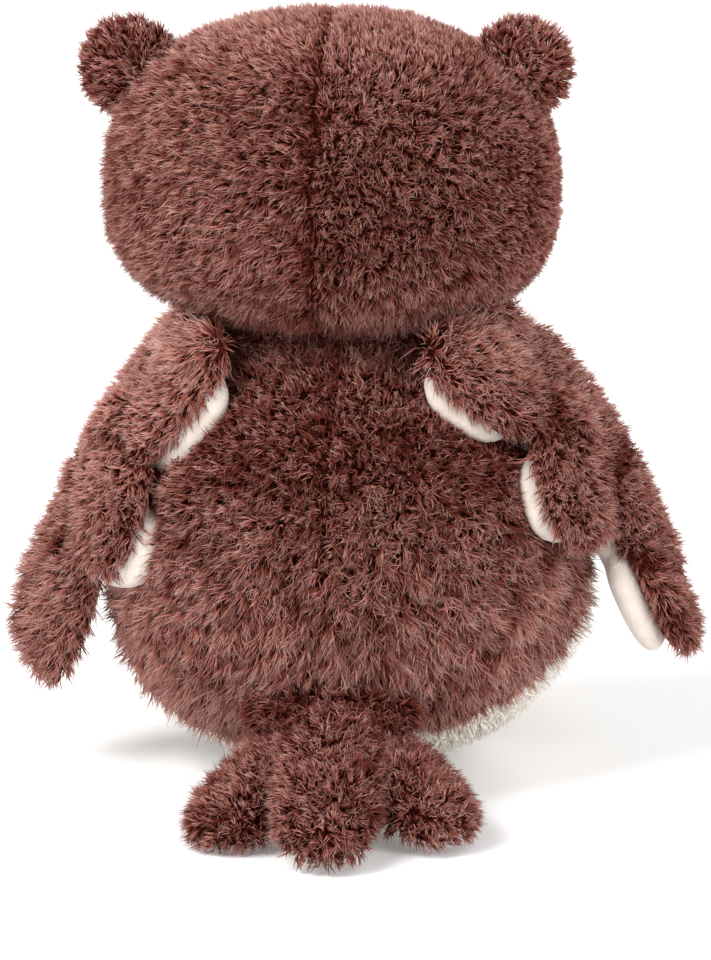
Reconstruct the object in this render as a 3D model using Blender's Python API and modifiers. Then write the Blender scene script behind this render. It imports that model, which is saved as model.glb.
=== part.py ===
"""Sitting plush owl with a turning head, lifting wings, tail and feet.

The owl faces -Y and sits on the floor at Z = 0, with the body's axis on X = Y = 0. Lengths are in metres.
Every cover is a shell of pile fabric round its stuffing, cut at the seams where the real panels are sewn.
"""

import math

import bmesh
import bpy
import numpy as np
from mathutils import Matrix, Vector

# Fabrics and fits
GAP = 0.0003
FILLING_GAP = 0.0006
LINING_GAP = 0.0006
RUNNING_GAP = 0.0008
PLUSH = 0.0095
VELOUR = 0.0035
REMESH_VOXEL = 0.0035
OVERRUN = 0.05

# Body
BODY_HALF_WIDTH = 0.110
BODY_HALF_DEPTH = 0.098
BODY_EQUATOR = 0.093
BODY_HEIGHT = 0.204
SEAT_FLATTENING = 0.0015
BODY_TOP_POWER = 2.4
BODY_SEAT_POWER = 2.35

# Side seam between the brown back and the cream belly, an arc about an axis along X
SEAM_RADIUS = 0.235
SEAM_AXIS_BACK = 0.189
SEAM_AXIS_UP = 0.223

# Bean bag in the seat
BAG_HALF_WIDTH = 0.056
BAG_HALF_DEPTH = 0.050
BAG_THICKNESS = 0.030
BAG_SAG_SHARE = 0.1

# Neck
NECK_RADIUS = 0.030
NECK_UP = 0.205
NECK_SIDE_SHARE = 0.5
HEAD_GAP = 0.002

# Head
HEAD_HALF_WIDTH = 0.105
HEAD_HALF_DEPTH = 0.081
HEAD_UP = 0.0805
HEAD_DOWN = 0.0615
HEAD_SHIFT = 0.007
HEAD_TOP_POWER = 2.35
HEAD_CHIN_POWER = 2.9
HEAD_EQUATOR = BODY_HEIGHT + HEAD_GAP + HEAD_DOWN
FACE_SEAM_FRONT = 0.018

# Ears
EAR_HALF_WIDTH = 0.0245
EAR_HALF_THICKNESS = 0.0135
EAR_HALF_HEIGHT = 0.0245
EAR_SHIFT = 0.004
EAR_OUT_SHARE = 0.84
EAR_UP_SHARE = 0.66
EAR_LEAN = math.radians(38)
EAR_LINING_FRONT = 0.004

# Face
DISC_RADIUS = 0.039
DISC_THICKNESS = 0.0045
DISC_OUT = 0.033
DISC_UP = 0.004
EYE_RADIUS = 0.0125
EYE_DOME = 0.008
EYE_OUT = 0.030
EYE_UP = 0.006
SHANK_RADIUS = 0.0025
SHANK_BEYOND_WASHER = 0.003
WASHER_RADIUS = 0.009
WASHER_THICKNESS = 0.002
WASHER_SETBACK = 0.0030
BEAK_HALF_WIDTH = 0.0105
BEAK_HALF_HEIGHT = 0.0145
BEAK_REACH = 0.0150
BEAK_DOWN = 0.016
BEAK_MIDDLE_SHARE = 0.62
BEAK_TAPER_SHARE = 0.38
BEAK_HOOK_SHARE = 0.25

# How the lining and the filling lie in a padded wing or tail, as shares of the pad's thickness
LINING_SINK_SHARE = 0.24
FILLING_THICKNESS_SHARE = 0.60
FILLING_SINK_SHARE = 0.06

# Wings
FEATHER_THICKNESS = 0.0275
WING_LINING_THICKNESS = 0.018
WING_FILLING_INSET = 0.006
FEATHER_RISE_SHARE = 0.35
WING_HINGE_OUT = 0.061
WING_HINGE_BACK = 0.018
WING_HINGE_UP = 0.200
WING_AXIS = (0.47, 0.88, 0.08)

# Tail
TAIL_THICKNESS = 0.034
TAIL_LINING_THICKNESS = 0.021
TAIL_FILLING_INSET = 0.010
TAIL_HINGE_BACK = 0.0945
TAIL_HINGE_UP = 0.0625

# Feet
FOOT_OUT = 0.044
FOOT_HALF_WIDTH = 0.027
FOOT_HALF_LENGTH = 0.038
FOOT_FRONT = 0.0963
FOOT_HEIGHT = 0.028
TOE_RADIUS = 0.0115
TOE_LENGTH_SHARE = 1.35
SOLE_THICKNESS = 0.003
FOOT_FILLING_INSET = 0.005
FOOT_HINGE_FRONT = 0.067
FOOT_HINGE_UP = 0.031

# Each feather is a flat ellipsoid from its root to its tip. Both ends are shares of the body's half width,
# half depth and height. Then come its half width as a share of the height, and the way its face looks, in
# degrees from sideways towards the back.
LEFT_FEATHER_SHARES = (
    ((0.59, 0.12, 1.005), (1.11, 0.16, 0.56), 0.145, 32),
    ((0.93, 0.08, 0.80), (1.33, 0.20, 0.25), 0.106, 38),
    ((0.43, 0.51, 1.005), (0.83, 0.36, 0.70), 0.100, 50),
    ((0.86, 0.33, 0.84), (0.97, 0.52, 0.44), 0.130, 46),
    ((1.07, 0.30, 0.58), (1.28, 0.26, 0.19), 0.102, 50),
)
RIGHT_FEATHER_SHARES = (
    ((0.60, 0.12, 1.0), (1.15, 0.14, 0.60), 0.147, 30),
    ((0.96, 0.06, 0.82), (1.37, 0.16, 0.35), 0.106, 26),
    ((0.39, 0.54, 1.0), (0.87, 0.38, 0.80), 0.108, 46),
    ((0.84, 0.31, 0.88), (1.03, 0.46, 0.53), 0.118, 38),
    ((1.16, 0.24, 0.56), (1.41, 0.14, 0.26), 0.095, 4),
)
# The tail's lobes in the same way, with the face looking up and back
TAIL_LOBE_SHARES = (
    ((-0.02, 0.72, 0.26), (-0.09, 1.92, 0.045), 0.130),
    ((0.03, 0.74, 0.18), (0.41, 1.66, 0.035), 0.125),
    ((-0.09, 0.74, 0.18), (-0.60, 1.52, 0.055), 0.125),
)
TOE_SPREAD_SHARES = (-0.62, 0.0, 0.62)
TOE_REACH_SHARES = (0.72, 0.90, 0.72)

# Faceting
SHARP_ANGLE = math.radians(50)
LOBE_POWER = 2.7
NECK_FACETS = (24, 14)
BODY_FACETS = (26, 14)
HEAD_FACETS = (26, 14)
STUFFING_FACETS = (18, 10)
SMALL_FACETS = (14, 8)
LOBE_FACETS = (24, 16)
ROUND_FACETS = 32
WING_FACES = 400
WING_LINING_FACES = 320
WING_FILLING_FACES = 130
TAIL_FACES = 380
TAIL_LINING_FACES = 230
TAIL_FILLING_FACES = 120
FOOT_FACES = 210


def fresh_collection(name):
    """A new collection linked to the scene."""
    made = bpy.data.collections.new(name)
    bpy.context.scene.collection.children.link(made)
    return made


def srgb(hex_code):
    """A hex colour as linear RGBA."""
    values = [int(hex_code[i : i + 2], 16) / 255 for i in (0, 2, 4)]
    linear = [v / 12.92 if v <= 0.04045 else ((v + 0.055) / 1.055) ** 2.4 for v in values]
    return (*linear, 1.0)


def finish(name, hex_code, roughness):
    """A Principled material with one colour and roughness."""
    made = bpy.data.materials.new(name)
    made.use_nodes = True
    shader = made.node_tree.nodes["Principled BSDF"]
    shader.inputs["Base Color"].default_value = srgb(hex_code)
    shader.inputs["Roughness"].default_value = roughness
    shader.inputs["Metallic"].default_value = 0.0
    return made


def as_part(name, mesh, material):
    """A mesh as a named piece of the owl."""
    mesh.name = name
    part = bpy.data.objects.new(name, mesh)
    part.data.materials.append(material)
    PARTS.objects.link(part)
    part.data.shade_smooth()
    part.data.set_sharp_from_angle(angle=SHARP_ANGLE)
    return part


def as_cutter(name, mesh):
    """A mesh as a hidden cutter."""
    cutter = bpy.data.objects.new(name, mesh)
    CUTTERS.objects.link(cutter)
    cutter.hide_render = True
    cutter.display_type = "WIRE"
    return cutter


def mesh_from(bm, name):
    """A closed, outward-facing mesh from a bmesh."""
    bmesh.ops.recalc_face_normals(bm, faces=bm.faces)
    mesh = bpy.data.meshes.new(name)
    bm.to_mesh(mesh)
    bm.free()
    return mesh


def round_mesh(name, half, facets, shape=None):
    """A sphere stretched to its half sizes, after an optional shape function on its unit points."""
    bm = bmesh.new()
    bmesh.ops.create_uvsphere(bm, u_segments=facets[0], v_segments=facets[1], radius=1)
    unit = np.array([v.co for v in bm.verts])
    points = (shape(unit) if shape else unit) * np.array(half)
    for vertex, point in zip(bm.verts, points):
        vertex.co = point
    return mesh_from(bm, name)


def plump(top_power, bottom_power, up, down, scale):
    """A shape function: a superellipse profile with its own height and power above and below the equator.

    A point at polar angle t goes to height |cos t|^(2/p) and radius |sin t|^(2/p), so p = 2 is an ellipse
    and a higher p is squarer.
    """

    def shape(unit):
        x, y, z = unit.T
        sine = np.hypot(x, y)
        power = np.where(z >= 0, top_power, bottom_power)
        radius = sine ** (2 / power)
        height = np.sign(z) * np.abs(z) ** (2 / power) * np.where(z >= 0, up, down) / scale
        round_sine = np.where(sine > 0, sine, 1)
        return np.column_stack([x / round_sine * radius, y / round_sine * radius, height])

    return shape


def moved(mesh, matrix):
    """The same mesh after a transform."""
    mesh.transform(matrix)
    return mesh


def body_mesh(name, inset, facets):
    """The body's form, with its surface moved in by an inset."""
    up = BODY_HEIGHT - BODY_EQUATOR - inset
    down = BODY_EQUATOR + SEAT_FLATTENING - inset
    half = (BODY_HALF_WIDTH - inset, BODY_HALF_DEPTH - inset, up)
    mesh = round_mesh(name, half, facets, plump(BODY_TOP_POWER, BODY_SEAT_POWER, up, down, up))
    return moved(mesh, Matrix.Translation((0, 0, BODY_EQUATOR)))


def head_mesh(name, inset, facets):
    """The head's form, with its surface moved in by an inset."""
    up = HEAD_UP - inset
    down = HEAD_DOWN - inset
    half = (HEAD_HALF_WIDTH - inset, HEAD_HALF_DEPTH - inset, up)
    mesh = round_mesh(name, half, facets, plump(HEAD_TOP_POWER, HEAD_CHIN_POWER, up, down, up))
    return moved(mesh, Matrix.Translation((HEAD_SHIFT, 0, HEAD_EQUATOR)))


def box(name, low, high):
    """A box cutter between two corners."""
    bm = bmesh.new()
    bmesh.ops.create_cube(bm, size=1)
    middle = (Vector(low) + Vector(high)) / 2
    size = Vector(high) - Vector(low)
    bmesh.ops.scale(bm, vec=size, verts=bm.verts)
    bmesh.ops.translate(bm, vec=middle, verts=bm.verts)
    return as_cutter(name, mesh_from(bm, name))


def rod_mesh(name, radius, length, facets, matrix):
    """A cylinder along its own Z, centred at the matrix."""
    bm = bmesh.new()
    bmesh.ops.create_cone(
        bm, cap_ends=True, segments=facets, radius1=radius, radius2=radius, depth=length, matrix=matrix
    )
    return mesh_from(bm, name)


def evaluated_mesh(thing):
    """The mesh that an object's modifiers make."""
    graph = bpy.context.evaluated_depsgraph_get()
    return bpy.data.meshes.new_from_object(thing.evaluated_get(graph))


def grown(name, mesh, distance):
    """A cutter: a copy of a mesh, with its surface moved out along the normals."""
    cutter = as_cutter(name, mesh.copy())
    swell = cutter.modifiers.new("swell", "DISPLACE")
    swell.direction = "NORMAL"
    swell.mid_level = 0
    swell.strength = distance
    return cutter


def boolean(part, cutter, operation):
    """A live Boolean of a part with a cutter."""
    step = part.modifiers.new(cutter.name, "BOOLEAN")
    step.operation = operation
    step.solver = "EXACT"
    step.object = cutter


def cut(part, *cutters):
    """Takes each cutter away from a part."""
    for cutter in cutters:
        boolean(part, cutter, "DIFFERENCE")


def keep(part, *regions):
    """Keeps only what lies inside each region."""
    for region in regions:
        boolean(part, region, "INTERSECT")


def body_place(shares):
    """A place from its shares of the body's half width, half depth and height."""
    return Vector((shares[0] * BODY_HALF_WIDTH, shares[1] * BODY_HALF_DEPTH, shares[2] * BODY_HEIGHT))


def pad_matrix(root, tip, half_width, half_thickness, face, sink):
    """Carries a unit sphere to a flat ellipsoid from root to tip, facing a given way and sunk against it."""
    along = tip - root
    half_length = along.length / 2
    along.normalize()
    normal = (face - face.dot(along) * along).normalized()
    across = along.cross(normal)
    turn = Matrix((across, normal, along)).transposed().to_4x4()
    size = Matrix.Diagonal((half_width, half_thickness, half_length, 1))
    return Matrix.Translation((root + tip) / 2 - normal * sink) @ turn @ size


def lobed_mesh(name, matrices, faces):
    """One smooth closed skin round several ellipsoids: remeshed, smoothed and brought to a face count."""
    bm = bmesh.new()
    blunt = plump(LOBE_POWER, LOBE_POWER, 1, 1, 1)
    for matrix in matrices:
        lobe = moved(round_mesh("lobe", (1, 1, 1), LOBE_FACETS, blunt), matrix)
        bm.from_mesh(lobe)
        bpy.data.meshes.remove(lobe)
    form = bpy.data.objects.new(name, mesh_from(bm, name))
    bpy.context.scene.collection.objects.link(form)
    skin = form.modifiers.new("skin", "REMESH")
    skin.mode = "VOXEL"
    skin.voxel_size = REMESH_VOXEL
    ease = form.modifiers.new("ease", "SMOOTH")
    ease.iterations = 5
    dense = evaluated_mesh(form)
    dense.calc_loop_triangles()
    thin = form.modifiers.new("thin", "DECIMATE")
    thin.ratio = faces / len(dense.loop_triangles)
    bpy.data.meshes.remove(dense)
    made = evaluated_mesh(form)
    bpy.data.objects.remove(form)
    return made


def feather_matrices(rows, side, thickness, inset, sink):
    """The ellipsoids of one wing, on one side of the body."""
    found = []
    for root, tip, width_share, look in rows:
        angle = math.radians(look)
        face = Vector((side * math.cos(angle), math.sin(angle), FEATHER_RISE_SHARE))
        start = body_place(root)
        end = body_place(tip)
        start.x *= side
        end.x *= side
        ease = (end - start).normalized() * inset
        width = width_share * BODY_HEIGHT - inset
        found.append(pad_matrix(start + ease, end - ease, width, thickness / 2, face, sink))
    return found


def tail_matrices(thickness, inset, sink):
    """The ellipsoids of the tail's three lobes."""
    found = []
    for root, tip, width_share in TAIL_LOBE_SHARES:
        start = body_place(root)
        end = body_place(tip)
        ease = (end - start).normalized() * inset
        width = width_share * BODY_HEIGHT - inset
        found.append(pad_matrix(start + ease, end - ease, width, thickness / 2, Vector((0, 0, 1)), sink))
    return found


def foot_matrices(side, inset):
    """The ellipsoids of one foot: its pad and three toes, which an inset draws in from above and the sides."""
    middle = Vector((side * FOOT_OUT, -FOOT_FRONT, FOOT_HEIGHT / 2 - inset))
    pad = (FOOT_HALF_WIDTH - inset, FOOT_HALF_LENGTH - inset, FOOT_HEIGHT / 2 - inset, 1)
    found = [Matrix.Translation(middle) @ Matrix.Diagonal(pad)]
    for spread, reach in zip(TOE_SPREAD_SHARES, TOE_REACH_SHARES):
        place = middle + Vector((spread * FOOT_HALF_WIDTH, -reach * FOOT_HALF_LENGTH, 0))
        place.z = TOE_RADIUS - inset
        toe = (TOE_RADIUS - inset, TOE_RADIUS * TOE_LENGTH_SHARE - inset, TOE_RADIUS - inset, 1)
        found.append(Matrix.Translation(place) @ Matrix.Diagonal(toe))
    return found


def make_body():
    """Two back panels, the belly, the stuffing and the bean bag."""
    form = body_mesh("body_form", 0, BODY_FACETS)
    filling = body_mesh("body_filling_form", PLUSH, STUFFING_FACETS)
    cavity = grown("body_cavity", filling, GAP)
    for side, name in ((1, "body_back_left"), (-1, "body_back_right")):
        panel = as_part(name, form.copy(), BROWN_PLUSH)
        cut(panel, cavity, SIDE_OF[-side], NECK_SOCKET)
        keep(panel, BACK_REGION)
    belly = as_part("belly_panel", form.copy(), CREAM_PLUSH)
    cut(belly, cavity, BACK_REGION_GROWN, NECK_SOCKET, FLOOR)
    stuffing = as_part("body_stuffing", filling, FIBREFILL)
    half = (BAG_HALF_WIDTH, BAG_HALF_DEPTH, BAG_THICKNESS / 2)
    bag_mesh = round_mesh("bean_bag", half, SMALL_FACETS)
    moved(bag_mesh, Matrix.Translation((0, 0, PLUSH + BAG_THICKNESS / 2 - BAG_SAG_SHARE * BAG_THICKNESS)))
    bag = as_part("bean_bag", bag_mesh, BAG_CLOTH)
    keep(bag, as_cutter("inside_body", filling.copy()))
    cut(stuffing, grown("bag_space", bag_mesh, GAP), NECK_SOCKET)
    return form


def make_neck():
    """The stuffed ring that carries the head."""
    mesh = round_mesh("neck", (NECK_RADIUS,) * 3, NECK_FACETS)
    moved(mesh, Matrix.Translation(NECK_PLACE))
    as_part("neck", mesh, BROWN_CLOTH)


def make_head():
    """Two panels behind, the face panel in front, and the stuffing."""
    form = head_mesh("head_form", 0, HEAD_FACETS)
    filling = head_mesh("head_filling_form", PLUSH, STUFFING_FACETS)
    cavity = grown("head_cavity", filling, GAP)
    far = HEAD_HALF_WIDTH + OVERRUN
    low = HEAD_EQUATOR - HEAD_DOWN - OVERRUN
    high = HEAD_EQUATOR + HEAD_UP + OVERRUN
    seam = -FACE_SEAM_FRONT
    front = box("head_front", (HEAD_SHIFT - far, seam - far, low), (HEAD_SHIFT + far, seam, high))
    behind = box("head_behind", (HEAD_SHIFT - far, seam - GAP, low), (HEAD_SHIFT + far, seam + 2 * far, high))
    left = box("head_left_side", (HEAD_SHIFT - GAP / 2, -far, low), (HEAD_SHIFT + far, far, high))
    right = box("head_right_side", (HEAD_SHIFT - far, -far, low), (HEAD_SHIFT + GAP / 2, far, high))
    for name, other in (("head_back_left", right), ("head_back_right", left)):
        panel = as_part(name, form.copy(), BROWN_PLUSH)
        cut(panel, cavity, front, other, NECK_SOCKET)
    face = as_part("face_panel", form.copy(), BROWN_PLUSH)
    cut(face, cavity, behind, NECK_SOCKET)
    stuffing = as_part("head_stuffing", filling, FIBREFILL)
    cut(stuffing, NECK_SOCKET)
    return form, face, stuffing


def make_ears(head_form):
    """Two flat round ears, each a plush back and a front lining, sewn to the head's upper corners."""
    head = grown("head_for_ears", head_form, GAP)
    far = HEAD_HALF_WIDTH + HEAD_UP
    up = HEAD_EQUATOR + EAR_UP_SHARE * HEAD_UP
    seam = -EAR_LINING_FRONT
    top = HEAD_EQUATOR + HEAD_UP + far
    ahead = box("ear_front_side", (-2 * far, seam - far, 0), (2 * far, seam, top))
    behind = box("ear_back_side", (-2 * far, seam - GAP, 0), (2 * far, seam + far, top))
    for side, word in ((1, "left"), (-1, "right")):
        place = Vector((HEAD_SHIFT + EAR_SHIFT + side * EAR_OUT_SHARE * HEAD_HALF_WIDTH, 0, up))
        turn = Matrix.Rotation(side * EAR_LEAN, 4, "Y")
        half = (EAR_HALF_WIDTH, EAR_HALF_THICKNESS, EAR_HALF_HEIGHT)
        mesh = moved(round_mesh("ear", half, SMALL_FACETS), Matrix.Translation(place) @ turn)
        back = as_part(f"ear_{word}_back", mesh, BROWN_PLUSH)
        cut(back, ahead, head)
        lining = as_part(f"ear_{word}_lining", mesh.copy(), CREAM_VELOUR)
        cut(lining, behind, head)


def face_place(out, up, proud):
    """A point on the front of the head and the sideways turn of the surface there."""
    x = out / (HEAD_HALF_WIDTH + proud)
    z = abs(up) / ((HEAD_UP if up > 0 else HEAD_DOWN) + proud)
    power = HEAD_TOP_POWER if up > 0 else HEAD_CHIN_POWER
    radius = (1 - z**power) ** (1 / power)
    depth = (HEAD_HALF_DEPTH + proud) * math.sqrt(radius**2 - x**2)
    turn = math.atan2(out / HEAD_HALF_WIDTH**2, depth / HEAD_HALF_DEPTH**2)
    return Vector((HEAD_SHIFT + out, -depth, HEAD_EQUATOR + up)), turn


def make_face(head_form, face, stuffing):
    """Eye discs, eyes on shanks with lock washers behind the face panel, and the beak."""
    head = grown("head_under_face", head_form, GAP)
    disc_top = grown("disc_top", head_form, DISC_THICKNESS)
    proud = grown("disc_top_clear", head_form, DISC_THICKNESS + GAP)
    far = HEAD_HALF_DEPTH + OVERRUN
    for side, word in ((1, "left"), (-1, "right")):
        across = Matrix.Rotation(math.pi / 2, 4, "X")
        centre = Vector((HEAD_SHIFT + side * DISC_OUT, -far / 2, HEAD_EQUATOR + DISC_UP))
        column = rod_mesh("eye_disc", DISC_RADIUS, far, ROUND_FACETS, Matrix.Translation(centre) @ across)
        disc = as_part(f"eye_disc_{word}", column, CREAM_VELOUR)
        keep(disc, disc_top)
        cut(disc, head, HEAD_MIDDLE[side])

        place, turn = face_place(side * EYE_OUT, EYE_UP, DISC_THICKNESS)
        stand = Matrix.Translation(place) @ Matrix.Rotation(turn, 4, "Z") @ across
        dome_mesh = round_mesh("eye", (EYE_RADIUS, EYE_RADIUS, EYE_DOME), SMALL_FACETS)
        eye = as_part(f"eye_{word}", moved(dome_mesh, stand), BLACK_PLASTIC)
        cut(eye, proud)
        washer_face = DISC_THICKNESS + PLUSH + WASHER_SETBACK
        reach = washer_face + WASHER_THICKNESS + SHANK_BEYOND_WASHER
        root = EYE_DOME / 2
        middle = Matrix.Translation((0, 0, (root - reach) / 2))
        shank_mesh = rod_mesh("shank", SHANK_RADIUS, reach + root, SMALL_FACETS[0], stand @ middle)
        boolean(eye, as_cutter(f"shank_{word}", shank_mesh), "UNION")
        hole = grown(f"shank_hole_{word}", shank_mesh, GAP)
        cut(disc, hole)
        cut(face, hole)
        seat = Matrix.Translation((0, 0, -washer_face - WASHER_THICKNESS / 2))
        washer_mesh = rod_mesh("washer", WASHER_RADIUS, WASHER_THICKNESS, SMALL_FACETS[0], stand @ seat)
        washer = as_part(f"eye_washer_{word}", washer_mesh, WHITE_PLASTIC)
        cut(washer, hole)
        depth = washer_face + WASHER_THICKNESS + SHANK_BEYOND_WASHER + WASHER_THICKNESS
        pocket_at = Matrix.Translation((0, 0, -depth / 2))
        pocket = rod_mesh("pocket", WASHER_RADIUS + WASHER_THICKNESS, depth, SMALL_FACETS[0], stand @ pocket_at)
        cut(stuffing, as_cutter(f"washer_pocket_{word}", pocket))

    def beak_shape(unit):
        """Draws the ball in to a point below."""
        x, y, z = unit.T
        narrow = BEAK_MIDDLE_SHARE + BEAK_TAPER_SHARE * z
        hook = BEAK_HOOK_SHARE * (1 - z) * (y < 0)
        return np.column_stack([x * narrow, y * narrow - hook, z])

    place, _ = face_place(0, -BEAK_DOWN, DISC_THICKNESS)
    half = (BEAK_HALF_WIDTH, BEAK_REACH, BEAK_HALF_HEIGHT)
    beak_mesh = moved(round_mesh("beak", half, SMALL_FACETS, beak_shape), Matrix.Translation(place))
    beak = as_part("beak", beak_mesh, TAN_FELT)
    cut(beak, proud)


def make_pad(name, forms, body_form, finishes):
    """A stuffed pad: its plush cover, its lining on the other face, and its filling, all cut by the body."""
    cover_mesh, lining_mesh, filling_mesh = forms
    body = grown(f"body_beside_{name}", body_form, RUNNING_GAP)
    lining_space = grown(f"{name}_lining_space", lining_mesh, LINING_GAP)
    filling_space = grown(f"{name}_filling_space", filling_mesh, FILLING_GAP)
    cover = as_part(f"{name}_cover", cover_mesh, finishes[0])
    cut(cover, lining_space, as_cutter(f"{name}_lining_core", lining_mesh.copy()), filling_space, body)
    lining = as_part(f"{name}_lining", lining_mesh, finishes[1])
    cut(lining, filling_space, as_cutter(f"{name}_filling_core", filling_mesh.copy()), body)
    filling = as_part(f"{name}_filling", filling_mesh, FIBREFILL)
    cut(filling, grown(f"body_off_{name}", body_form, VELOUR))
    return cover, lining, filling


def keep_largest(part):
    """Applies a part's cuts and keeps the largest of the bodies that they leave."""
    mesh = evaluated_mesh(part)
    part.modifiers.clear()
    bm = bmesh.new()
    bm.from_mesh(mesh)
    left = set(bm.verts)
    bodies = []
    while left:
        edge = [left.pop()]
        body = list(edge)
        while edge:
            near = {link.other_vert(v) for v in edge for link in v.link_edges} & left
            left -= near
            edge = list(near)
            body += edge
        bodies.append(body)
    bodies.sort(key=len)
    for body in bodies[:-1]:
        bmesh.ops.delete(bm, geom=body, context="VERTS")
    bm.to_mesh(mesh)
    bm.free()
    part.data = mesh


def make_wings(body_form):
    """The two three-feathered wings."""
    for side, word, rows in ((1, "left", LEFT_FEATHER_SHARES), (-1, "right", RIGHT_FEATHER_SHARES)):
        full = feather_matrices(rows, side, FEATHER_THICKNESS, 0, 0)
        lined = feather_matrices(rows, side, WING_LINING_THICKNESS, 0, LINING_SINK_SHARE * FEATHER_THICKNESS)
        inner = FEATHER_THICKNESS * FILLING_THICKNESS_SHARE
        filled = feather_matrices(rows, side, inner, WING_FILLING_INSET, FILLING_SINK_SHARE * FEATHER_THICKNESS)
        forms = (
            lobed_mesh("wing", full, WING_FACES),
            lobed_mesh("wing_lining", lined, WING_LINING_FACES),
            lobed_mesh("wing_filling", filled, WING_FILLING_FACES),
        )
        for piece in make_pad(f"wing_{word}", forms, body_form, (BROWN_PLUSH, CREAM_VELOUR)):
            keep_largest(piece)


def make_tail(body_form):
    """The three-lobed fan tail, which lies on the floor."""
    inner = TAIL_THICKNESS * FILLING_THICKNESS_SHARE
    forms = (
        lobed_mesh("tail", tail_matrices(TAIL_THICKNESS, 0, 0), TAIL_FACES),
        lobed_mesh(
            "tail_lining",
            tail_matrices(TAIL_LINING_THICKNESS, 0, LINING_SINK_SHARE * TAIL_THICKNESS),
            TAIL_LINING_FACES,
        ),
        lobed_mesh(
            "tail_filling",
            tail_matrices(inner, TAIL_FILLING_INSET, FILLING_SINK_SHARE * TAIL_THICKNESS),
            TAIL_FILLING_FACES,
        ),
    )
    for piece in make_pad("tail", forms, body_form, (BROWN_PLUSH, CREAM_VELOUR)):
        cut(piece, FLOOR)
        keep_largest(piece)


def make_feet(body_form):
    """Two feet with three toes each, a sole under each and their filling."""
    body = grown("body_beside_feet", body_form, GAP)
    far = FOOT_FRONT + 2 * FOOT_HALF_LENGTH
    wide = BODY_HALF_WIDTH + OVERRUN
    above = box("above_sole", (-wide, -far, SOLE_THICKNESS), (wide, 0, far))
    below = box("below_upper", (-wide, -far, -far), (wide, 0, SOLE_THICKNESS + GAP))
    for side, word in ((1, "left"), (-1, "right")):
        form = lobed_mesh("foot", foot_matrices(side, 0), FOOT_FACES)
        inside = lobed_mesh("foot_filling", foot_matrices(side, FOOT_FILLING_INSET), FOOT_FACES / 2)
        space = grown(f"foot_{word}_space", inside, FILLING_GAP)
        core = as_cutter(f"foot_{word}_core", inside.copy())
        upper = as_part(f"foot_{word}_upper", form, TAN_VELOUR)
        cut(upper, space, core, below, body)
        sole = as_part(f"foot_{word}_sole", form.copy(), CREAM_VELOUR)
        cut(sole, above, FLOOR, body)
        filling = as_part(f"foot_{word}_filling", inside, FIBREFILL)
        cut(filling, below, grown(f"body_off_foot_{word}", body_form, VELOUR))
        for piece in (upper, sole, filling):
            keep_largest(piece)


def pieces(*starts):
    """The owl's pieces whose names start in one of these ways."""
    return [piece for piece in PARTS.objects if piece.name.startswith(starts) and piece.type == "MESH"]


def hinge(name, place, axis, carried):
    """An empty on a joint, its Z along the axis, that carries the moving pieces."""
    made = bpy.data.objects.new(name, None)
    PARTS.objects.link(made)
    made.matrix_world = Matrix.Translation(place) @ Vector(axis).to_track_quat("Z", "Y").to_matrix().to_4x4()
    for piece in carried:
        piece.parent = made
        piece.matrix_parent_inverse = made.matrix_world.inverted()
    return made


def make_hinges():
    """The joints: the head turns and nods on the neck, and wings, tail and feet lift at their seams."""
    turn = hinge("head_turn_axis", NECK_PLACE, (0, 0, 1), pieces("neck"))
    nod = hinge("head_nod_axis", NECK_PLACE, (1, 0, 0), pieces("head", "face", "ear", "eye", "beak"))
    nod.parent = turn
    nod.matrix_parent_inverse = turn.matrix_world.inverted()
    for side, word in ((1, "left"), (-1, "right")):
        shoulder = Vector((side * WING_HINGE_OUT, WING_HINGE_BACK, WING_HINGE_UP))
        axis = Vector((WING_AXIS[0], -side * WING_AXIS[1], -side * WING_AXIS[2]))
        hinge(f"wing_{word}_axis", shoulder, axis, pieces(f"wing_{word}"))
        ankle = Vector((side * FOOT_OUT, -FOOT_HINGE_FRONT, FOOT_HINGE_UP))
        hinge(f"foot_{word}_axis", ankle, (-1, 0, 0), pieces(f"foot_{word}"))
    hinge("tail_axis", (0, TAIL_HINGE_BACK, TAIL_HINGE_UP), (1, 0, 0), pieces("tail"))


for old in list(bpy.data.objects):
    bpy.data.objects.remove(old)
PARTS = fresh_collection("plush_owl")
CUTTERS = fresh_collection("plush_owl_cutters")

BROWN_PLUSH = finish("brown_long_pile_plush", "6F443B", 0.9)
BROWN_CLOTH = finish("brown_backing_cloth", "5A332B", 0.9)
CREAM_PLUSH = finish("cream_belly_plush", "DACEC5", 0.9)
CREAM_VELOUR = finish("cream_velour", "D6CBC5", 0.85)
TAN_VELOUR = finish("tan_velour", "C9A27A", 0.85)
TAN_FELT = finish("tan_felt", "D0A062", 0.85)
BLACK_PLASTIC = finish("black_gloss_plastic", "120E0D", 0.12)
WHITE_PLASTIC = finish("white_plastic", "E8E6E0", 0.5)
FIBREFILL = finish("polyester_fibrefill", "F2F0EC", 0.95)
BAG_CLOTH = finish("bean_bag_cloth", "CFC8BC", 0.9)

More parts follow.
